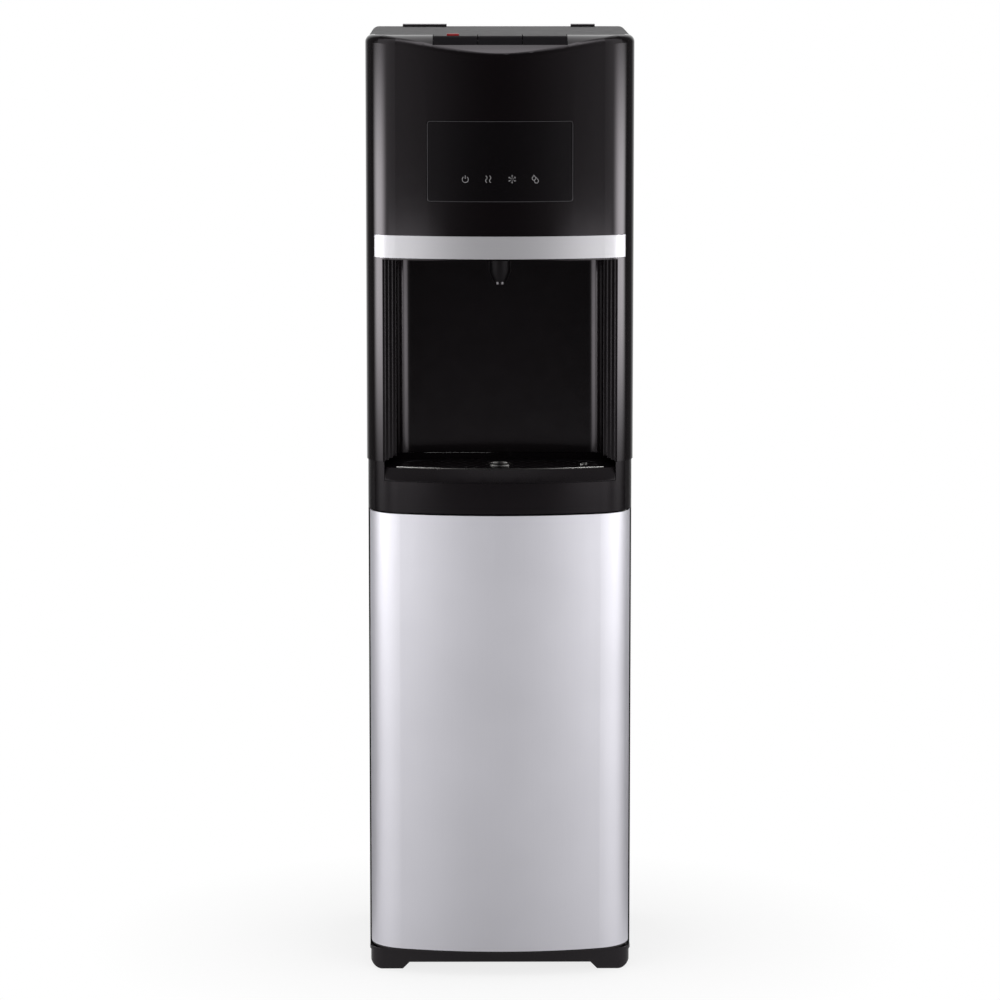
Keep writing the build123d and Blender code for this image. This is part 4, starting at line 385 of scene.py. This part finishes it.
def soften(obj, width):
    """Breaks the sharp edges of a node by a width in millimetres."""
    weld = obj.modifiers.new("weld", "WELD")
    weld.merge_threshold = WELD_GAP * MM
    bevel = obj.modifiers.new("bevel", "BEVEL")
    bevel.width = width * MM
    bevel.segments = BEVEL_SEGMENTS
    bevel.limit_method = "ANGLE"
    bevel.angle_limit = math.radians(BEVEL_ANGLE)
    bevel.use_clamp_overlap = obj.name in TIGHT_EDGES
    bevel.miter_outer = "MITER_SHARP"
    shade = obj.modifiers.new("shade", "NODES")
    shade.node_group = smoothing
    weighted = obj.modifiers.new("weighted", "WEIGHTED_NORMAL")
    weighted.keep_sharp = True


for name, node in nodes.items():
    node.data.materials.clear()
    node.data.materials.append(materials[OWN_LOOKS.get(name, slot_of[name])])
    if name in EDGE_WIDTHS:
        soften(node, EDGE_WIDTHS[name])


# Helpers for new pieces

def show(name, mesh, material, body):
    """Turns a mesh in the making into a piece that rides on a body."""
    data = bpy.data.meshes.new(name)
    mesh.to_mesh(data)
    mesh.free()
    data.materials.append(material)
    obj = bpy.data.objects.new(name, data)
    bpy.context.scene.collection.objects.link(obj)
    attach(obj, body)
    return obj


def arc_points(centre, radius, start, end, steps):
    """Points along an arc, angles in degrees anticlockwise from the right."""
    points = []
    for step in range(steps + 1):
        angle = math.radians(start + (end - start) * step / steps)
        points.append((centre[0] + radius * math.cos(angle), centre[1] + radius * math.sin(angle)))
    return points


def ring_points(centre, radius, sides):
    """Points round a full circle, each of them once."""
    return arc_points(centre, radius, 0.0, 360.0 * (sides - 1) / sides, sides - 1)


# Condenser tube with round bends, laid out by the box of the solid that it stands for

PASSES = 9
TUBE_RADIUS = 2.4 * MM
TUBE_SIDES = 12
LEAD_BEND = 10.0 * MM
LEAD_STEPS = 8
BEND_STEPS = 16


def condenser_route():
    """Middle line: in through the panel, passes with half-round bends, out through the panel."""
    low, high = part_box("condenser_tube")
    front, back = low[1], high[1] - TUBE_RADIUS
    reach = high[0] - TUBE_RADIUS
    bottom, top = low[2] + TUBE_RADIUS, high[2] - TUBE_RADIUS
    bend = (top - bottom) / (PASSES - 1) / 2
    route = [(-reach, front, bottom)]
    for x, y in arc_points((LEAD_BEND - reach, back - LEAD_BEND), LEAD_BEND, 180.0, 90.0, LEAD_STEPS):
        route.append((x, y, bottom))
    for index in range(PASSES - 1):
        side = 1 if index % 2 == 0 else -1
        centre = (reach - bend, bottom + (2 * index + 1) * bend)
        for x, z in arc_points(centre, bend, -90.0, 90.0, BEND_STEPS):
            route.append((side * x, back, z))
    for x, y in arc_points((reach - LEAD_BEND, back - LEAD_BEND), LEAD_BEND, 90.0, 0.0, LEAD_STEPS):
        route.append((x, y, top))
    route.append((reach, front, top))
    return [Vector(point) for point in route]


def swept(route, radius, sides):
    """A round tube along a line, closed at both ends."""
    mesh = bmesh.new()
    last = len(route) - 1
    tangent = (route[1] - route[0]).normalized()
    across = Vector((0.0, 0.0, 1.0))
    rings = []
    for index, point in enumerate(route):
        ahead = (route[min(index + 1, last)] - route[max(index - 1, 0)]).normalized()
        across = tangent.rotation_difference(ahead) @ across
        tangent = ahead
        other = tangent.cross(across)
        ring = []
        for u, v in ring_points((0.0, 0.0), radius, sides):
            ring.append(mesh.verts.new(point + across * u + other * v))
        rings.append(ring)
    for first, second in zip(rings, rings[1:]):
        for index in range(sides):
            following = (index + 1) % sides
            face = mesh.faces.new((first[index], first[following], second[following], second[index]))
            face.smooth = True
    mesh.faces.new(list(reversed(rings[0])))
    mesh.faces.new(rings[-1])
    bmesh.ops.recalc_face_normals(mesh, faces=mesh.faces)
    return mesh


tube_slot = slot_of["condenser_tube"]
tube_mesh = swept(condenser_route(), TUBE_RADIUS, TUBE_SIDES)
smooth_tube = show("condenser_coil", tube_mesh, materials[tube_slot], "cabinet")
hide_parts("condenser_tube")


# Printed marks on the control window and the rear rockers, in millimetres about their middle

PRINT_RISE = 0.05 * MM
PRINT_SINK = 0.03 * MM
# The side of the object that a mark is seen from, along its depth
FRONT = -1.0
BACK = 1.0


def surface(node):
    """The faces of a CAD node, for finding points on them."""
    mesh = nodes[node].data
    corners = [vertex.co for vertex in mesh.vertices]
    return BVHTree.FromPolygons(corners, [face.vertices[:] for face in mesh.polygons])


def on_face(faces, x, z, side, rise):
    """The point that is seen at a place from the front or the back, raised from the surface."""
    hit = faces.ray_cast(Vector((x, side, z)), Vector((0.0, -side, 0.0)))[0]
    return Vector((x, hit.y + side * rise, z))


def add_stroke(mesh, faces, side, points, width, closed):
    """A thin raised line on a surface along points in the front or back view."""
    count = len(points)
    left = []
    right = []
    for index, point in enumerate(points):
        before = points[index - 1] if closed or index > 0 else point
        after = points[(index + 1) % count] if closed or index < count - 1 else point
        along = (Vector(after) - Vector(before)).normalized()
        across = Vector((-along.y, along.x)) * width / 2
        left.append(Vector(point) + across)
        right.append(Vector(point) - across)
    rails = []
    for rail, rise in ((left, PRINT_RISE), (right, PRINT_RISE), (right, -PRINT_SINK), (left, -PRINT_SINK)):
        rails.append([mesh.verts.new(on_face(faces, spot.x, spot.y, side, rise)) for spot in rail])
    spans = count if closed else count - 1
    for index in range(spans):
        following = (index + 1) % count
        for first, second in zip(rails, rails[1:] + rails[:1]):
            mesh.faces.new((first[index], first[following], second[following], second[index]))
    if not closed:
        mesh.faces.new([rail[0] for rail in rails])
        mesh.faces.new([rail[-1] for rail in reversed(rails)])


def printed(name, node, side, middle, strokes, width, ink, body):
    """Strokes about a middle, open or closed, printed on a node."""
    mesh = bmesh.new()
    faces = surface(node)
    for points, closed in strokes:
        placed = [((middle[0] + u) * MM, (middle[1] + v) * MM) for u, v in points]
        add_stroke(mesh, faces, side, placed, width * MM, closed)
    bmesh.ops.recalc_face_normals(mesh, faces=mesh.faces)
    show(name, mesh, materials[ink], body)


def face_middle(node):
    """Middle of a node's box in the front view, in millimetres."""
    low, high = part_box(node)
    return (low.x + high.x) / MM / 2, (low.z + high.z) / MM / 2


# Four signs in a row on the window
SIGN_Z = 937.0
SIGN_X = (-40.0, -13.7, 13.7, 40.0)
SIGN_LINE = 0.6
SIGN_FINE = 0.35
POWER_RADIUS = 3.5
POWER_SINK = -0.4
POWER_GAP = (125.0, 415.0)
POWER_STEPS = 28
POWER_BAR = (0.2, 4.2)
STEAM_SHIFT = 2.2
STEAM_SWAY = 0.9
STEAM_HEIGHT = 8.0
STEAM_HALF_WAVE = 3.2
STEAM_STEPS = 16
SNOW_ARMS = 6
SNOW_REACH = (1.0, 4.9)
SNOW_FORK = 3.3
SNOW_BARB = 1.1
SNOW_LEAN = 60.0
DROP_STEPS = 20


def power_sign():
    """An open ring with an upright bar in its gap."""
    ring = arc_points((0.0, POWER_SINK), POWER_RADIUS, *POWER_GAP, POWER_STEPS)
    bar = [(0.0, POWER_BAR[0]), (0.0, POWER_BAR[1])]
    return [(ring, False), (bar, False)]


def steam_sign():
    """Two rising waves."""
    strokes = []
    for shift in (-STEAM_SHIFT, STEAM_SHIFT):
        wave = []
        for step in range(STEAM_STEPS + 1):
            rise = -STEAM_HEIGHT / 2 + STEAM_HEIGHT * step / STEAM_STEPS
            wave.append((shift + STEAM_SWAY * math.sin(rise * math.pi / STEAM_HALF_WAVE), rise))
        strokes.append((wave, False))
    return strokes


def snow_sign():
    """Arms with a fork near each tip."""
    strokes = []
    for arm in range(SNOW_ARMS):
        turn = math.radians(360.0 / SNOW_ARMS * arm + 90.0)
        out = Vector((math.cos(turn), math.sin(turn)))
        strokes.append(([tuple(out * reach) for reach in SNOW_REACH], False))
        for side in (-SNOW_LEAN, SNOW_LEAN):
            lean = turn + math.radians(side)
            start = out * SNOW_FORK
            tip = start + Vector((math.cos(lean), math.sin(lean))) * SNOW_BARB
            strokes.append(([tuple(start), tuple(tip)], False))
    return strokes


def drop_points(centre, radius, tip):
    """Outline of a water drop: an arc closed by a point above it."""
    lean = math.degrees(math.asin(radius / tip))
    points = arc_points(centre, radius, 180.0 - lean, 360.0 + lean, DROP_STEPS)
    points.append((centre[0], centre[1] + tip))
    return points


def drops_sign():
    """Two drops, one below the other."""
    upper = drop_points(centre=(-1.3, 0.9), radius=2.1, tip=3.6)
    lower = drop_points(centre=(1.5, -2.2), radius=2.3, tip=4.0)
    return [(upper, True), (lower, True)]


signs = (
    ("sign_power", power_sign(), SIGN_LINE),
    ("sign_hot", steam_sign(), SIGN_LINE),
    ("sign_cold", snow_sign(), SIGN_FINE),
    ("sign_water", drops_sign(), SIGN_LINE),
)
for x, (name, strokes, width) in zip(SIGN_X, signs):
    printed(name, "control_window", FRONT, (x, SIGN_Z), strokes, width, "icon_print", "cabinet")

# Hairline round the window, a little inside its edge
FRAME_INSET = 1.2
FRAME_CORNER = 3.0
FRAME_LINE = 0.5
FRAME_STEPS = 20
FRAME_CORNER_STEPS = 6


def window_frame():
    """Rounded rectangle inside the window's edge, with enough points along it to follow the bow."""
    low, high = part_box("control_window")
    right = (high.x - low.x) / MM / 2 - FRAME_INSET - FRAME_CORNER
    top = (high.z - low.z) / MM / 2 - FRAME_INSET - FRAME_CORNER
    points = []
    for x, z, start in ((right, -top, -90.0), (right, top, 0.0), (-right, top, 90.0), (-right, -top, 180.0)):
        points += arc_points((x, z), FRAME_CORNER, start, start + 90.0, FRAME_CORNER_STEPS)
        if x * z > 0.0:
            edge = z + math.copysign(FRAME_CORNER, z)
            for step in range(1, FRAME_STEPS):
                points.append((x - 2 * x * step / FRAME_STEPS, edge))
    return points


printed(
    "window_hairline", "control_window", FRONT, face_middle("control_window"), [(window_frame(), True)],
    FRAME_LINE, "faint_print", "cabinet",
)

# On and off marks of the rockers
MARK_RISE = 3.2
MARK_RADIUS = 1.4
MARK_LINE = 0.7
MARK_SIDES = 24
for rocker in ("hot_switch", "cold_switch"):
    bar = [(0.0, MARK_RISE - MARK_RADIUS), (0.0, MARK_RISE + MARK_RADIUS)]
    ring = ring_points((0.0, -MARK_RISE), MARK_RADIUS, MARK_SIDES)
    marks = [(bar, False), (ring, True)]
    printed(rocker + "_marks", rocker, BACK, face_middle(rocker), marks, MARK_LINE, "icon_print", rocker)


# Floor and world: white to the camera, and a studio of grey levels to gloss

# Levels from the front (0) round to the back (1), for the world and for the floor
WORLD_STOPS = (
    (0.0, 0.05), (0.03, 0.18), (0.12, 0.50), (0.28, 0.80), (0.46, 0.80), (0.56, 0.30), (0.64, 0.08),
    (0.88, 0.10), (0.97, 0.6), (1.0, 0.9),
)
SIDE_STOPS = (
    (0.0, 0.75), (0.06, 0.90), (0.15, 1.0), (0.46, 1.0), (0.6, 0.2), (0.88, 0.10), (0.97, 0.6), (1.0, 0.9),
)
# Levels that gloss sees on the floor, from the object (0) out to the floor's rim (1): painted shade keeps
# them lower near the object
FLOOR_STOPS = (
    (0.0, 0.50), (0.12, 0.62), (0.35, 0.85), (0.58, 1.0), (0.84, 1.0), (0.95, 0.12), (1.0, 0.10),
)
FLOOR_RADIUS = 4.2
FLOOR_SIDES = 96
FLOOR_DARK = (0.93, 0.93, 0.93)
FLOOR_LIGHT = (0.95, 0.95, 0.95)
# How much plain white the camera sees on the floor, near the object and from further out
NEAR_WHITE = 0.80
FADE_START = 0.20
FADE_END = 0.50
# Light from all round on what isn't gloss
WORLD_FILL = 0.55


def grey_ramp(tree, value, levels):
    """Grey levels at places along a value, joined evenly."""
    ramp = add_node(tree, "ShaderNodeValToRGB")
    stops = ramp.color_ramp.elements
    stops[0].position, stops[1].position = levels[0][0], levels[-1][0]
    for position, _ in levels[1:-1]:
        stops.new(position)
    for stop, (_, level) in zip(stops, levels):
        stop.color = (level, level, level, 1.0)
    tree.links.new(value, ramp.inputs["Fac"])
    return ramp.outputs["Color"]


def studio_level(tree, direction, levels):
    """Brightness that gloss sees, by the direction round the object from its front to its back."""
    flat = add_node(tree, "ShaderNodeVectorMath", operation="MULTIPLY")
    flat.inputs[1].default_value = (1.0, 1.0, 0.0)
    tree.links.new(direction, flat.inputs[0])
    unit = add_node(tree, "ShaderNodeVectorMath", operation="NORMALIZE")
    tree.links.new(flat.outputs[0], unit.inputs[0])
    split = add_node(tree, "ShaderNodeSeparateXYZ")
    tree.links.new(unit.outputs[0], split.inputs[0])
    return grey_ramp(tree, spread(tree, split.outputs["Y"], 0.0, 1.0, start=-1.0, end=1.0), levels)


def floor_material():
    """Pale floor that takes the shadow near the object and fades to plain white."""
    material, tree, shader, place = new_material("floor")
    tint = blend_colours(tree, noise(tree, place, scale=3.0), FLOOR_DARK, FLOOR_LIGHT)
    tree.links.new(tint, shader.inputs["Base Color"])
    set_inputs(shader, Roughness=0.6, Specular_IOR_Level=0.2)
    white = add_node(tree, "ShaderNodeEmission")
    set_inputs(white, Color=WHITE)
    far = add_node(tree, "ShaderNodeVectorMath", operation="LENGTH")
    tree.links.new(place, far.inputs[0])
    share = spread(tree, far.outputs["Value"], 0.0, 1.0, start=0.0, end=FLOOR_RADIUS)
    studio = add_node(tree, "ShaderNodeEmission")
    # Painted shade: to gloss the floor glows dimmer near the object, standing in for the object's shadow on
    # it
    tree.links.new(grey_ramp(tree, share, FLOOR_STOPS), studio.inputs["Color"])
    tree.links.new(studio_level(tree, place, SIDE_STOPS), studio.inputs["Strength"])
    path = add_node(tree, "ShaderNodeLightPath")
    whiter = spread(tree, far.outputs["Value"], NEAR_WHITE, 1.0, start=FADE_START, end=FADE_END)
    fade = combine(tree, "MULTIPLY", path.outputs["Is Camera Ray"], whiter)
    to_camera = mix_shaders(tree, fade, shader.outputs["BSDF"], white.outputs[0])
    glossy = combine(tree, "MAXIMUM", path.outputs["Is Glossy Ray"], path.outputs["Is Transmission Ray"])
    to_gloss = mix_shaders(tree, glossy, to_camera, studio.outputs[0])
    output = next(node for node in tree.nodes if node.type == "OUTPUT_MATERIAL")
    tree.links.new(to_gloss, output.inputs["Surface"])
    return material


floor_mesh = bpy.data.meshes.new("floor")
floor_rim = [(x, y, 0.0) for x, y in ring_points((0.0, 0.0), FLOOR_RADIUS, FLOOR_SIDES)]
floor_mesh.from_pydata(floor_rim, [], [tuple(range(FLOOR_SIDES))])
floor_mesh.materials.append(floor_material())
floor = bpy.data.objects.new("floor", floor_mesh)
bpy.context.scene.collection.objects.link(floor)


def studio_world(fill):
    """White to the camera, the studio's levels to gloss, and a soft fill for the rest."""
    world = bpy.data.worlds.new("studio")
    world.use_nodes = True
    tree = world.node_tree
    tree.nodes.clear()
    output = add_node(tree, "ShaderNodeOutputWorld")
    place = add_node(tree, "ShaderNodeTexCoord")
    gloss = add_node(tree, "ShaderNodeBackground")
    tree.links.new(studio_level(tree, place.outputs["Generated"], WORLD_STOPS), gloss.inputs["Color"])
    plain = add_node(tree, "ShaderNodeBackground")
    set_inputs(plain, Color=WHITE, Strength=fill)
    white = add_node(tree, "ShaderNodeBackground")
    set_inputs(white, Color=WHITE)
    path = add_node(tree, "ShaderNodeLightPath")
    glossy = combine(tree, "MAXIMUM", path.outputs["Is Glossy Ray"], path.outputs["Is Transmission Ray"])
    unseen = mix_shaders(tree, glossy, plain.outputs[0], gloss.outputs[0])
    seen = mix_shaders(tree, path.outputs["Is Camera Ray"], unseen, white.outputs[0])
    tree.links.new(seen, output.inputs["Surface"])
    bpy.context.scene.world = world


studio_world(WORLD_FILL)


# Lamps, by the brightness of their faces: a tall pair and a low pair beside the object, and one above

SIDE_LAMPS = {
    "box": dict(place=(2.58, -0.30, 0.66), width=2.4, height=0.86, radiance=6.8, soft=0.42),
    "low": dict(place=(1.48, -1.76, 0.50), width=2.0, height=0.50, radiance=3.4, soft=0.38),
}


def lamp(name, place, aim, width, height, radiance, soft):
    """A rectangular lamp that looks at a point and fades over a share of its face at each edge."""
    data = bpy.data.lights.new(name, "AREA")
    data.shape = "RECTANGLE"
    data.size = width
    data.size_y = height
    data.energy = radiance * math.pi * width * height
    data.use_nodes = True
    tree = data.node_tree
    emission = next(node for node in tree.nodes if node.type == "EMISSION")
    across = add_node(tree, "ShaderNodeSeparateXYZ")
    place_on = add_node(tree, "ShaderNodeNewGeometry")
    tree.links.new(place_on.outputs["Parametric"], across.inputs[0])
    level = None
    for axis in ("X", "Y"):
        for start, end in ((0.0, soft), (1.0, 1.0 - soft)):
            edge = spread(tree, across.outputs[axis], 0.0, 1.0, start, end, ease="SMOOTHSTEP")
            level = edge if level is None else combine(tree, "MULTIPLY", level, edge)
    tree.links.new(level, emission.inputs["Strength"])
    obj = bpy.data.objects.new(name, data)
    bpy.context.scene.collection.objects.link(obj)
    obj.location = place
    obj.rotation_euler = (Vector(aim) - Vector(place)).to_track_quat("-Z", "Y").to_euler()


for kind, look in SIDE_LAMPS.items():
    x, y, z = look.pop("place")
    for side, sign in (("left", -1.0), ("right", 1.0)):
        lamp(side + "_" + kind, place=(sign * x, y, z), aim=(0.0, 0.0, z), **look)
lamp(
    "overhead", place=(0.0, -0.75, 3.1), aim=(0.0, -0.1, 1.0), width=2.2, height=3.0, radiance=3.2, soft=0.50
)


# Camera at the photograph's angle

CAMERA_PLACE = Vector((-0.029, -5.18, 1.289))
CAMERA_AIM = Vector((0.0008, 0.0, 0.540))
CAMERA_SENSOR = 36.0
CAMERA_LENS = 157.2
camera_data = bpy.data.cameras.new("camera")
camera_data.sensor_width = CAMERA_SENSOR
camera_data.lens = CAMERA_LENS
camera = bpy.data.objects.new("camera", camera_data)
bpy.context.scene.collection.objects.link(camera)
camera.location = CAMERA_PLACE
camera.rotation_euler = (CAMERA_AIM - CAMERA_PLACE).to_track_quat("-Z", "Y").to_euler()
bpy.context.scene.camera = camera
bpy.context.scene.view_settings.view_transform = "Standard"
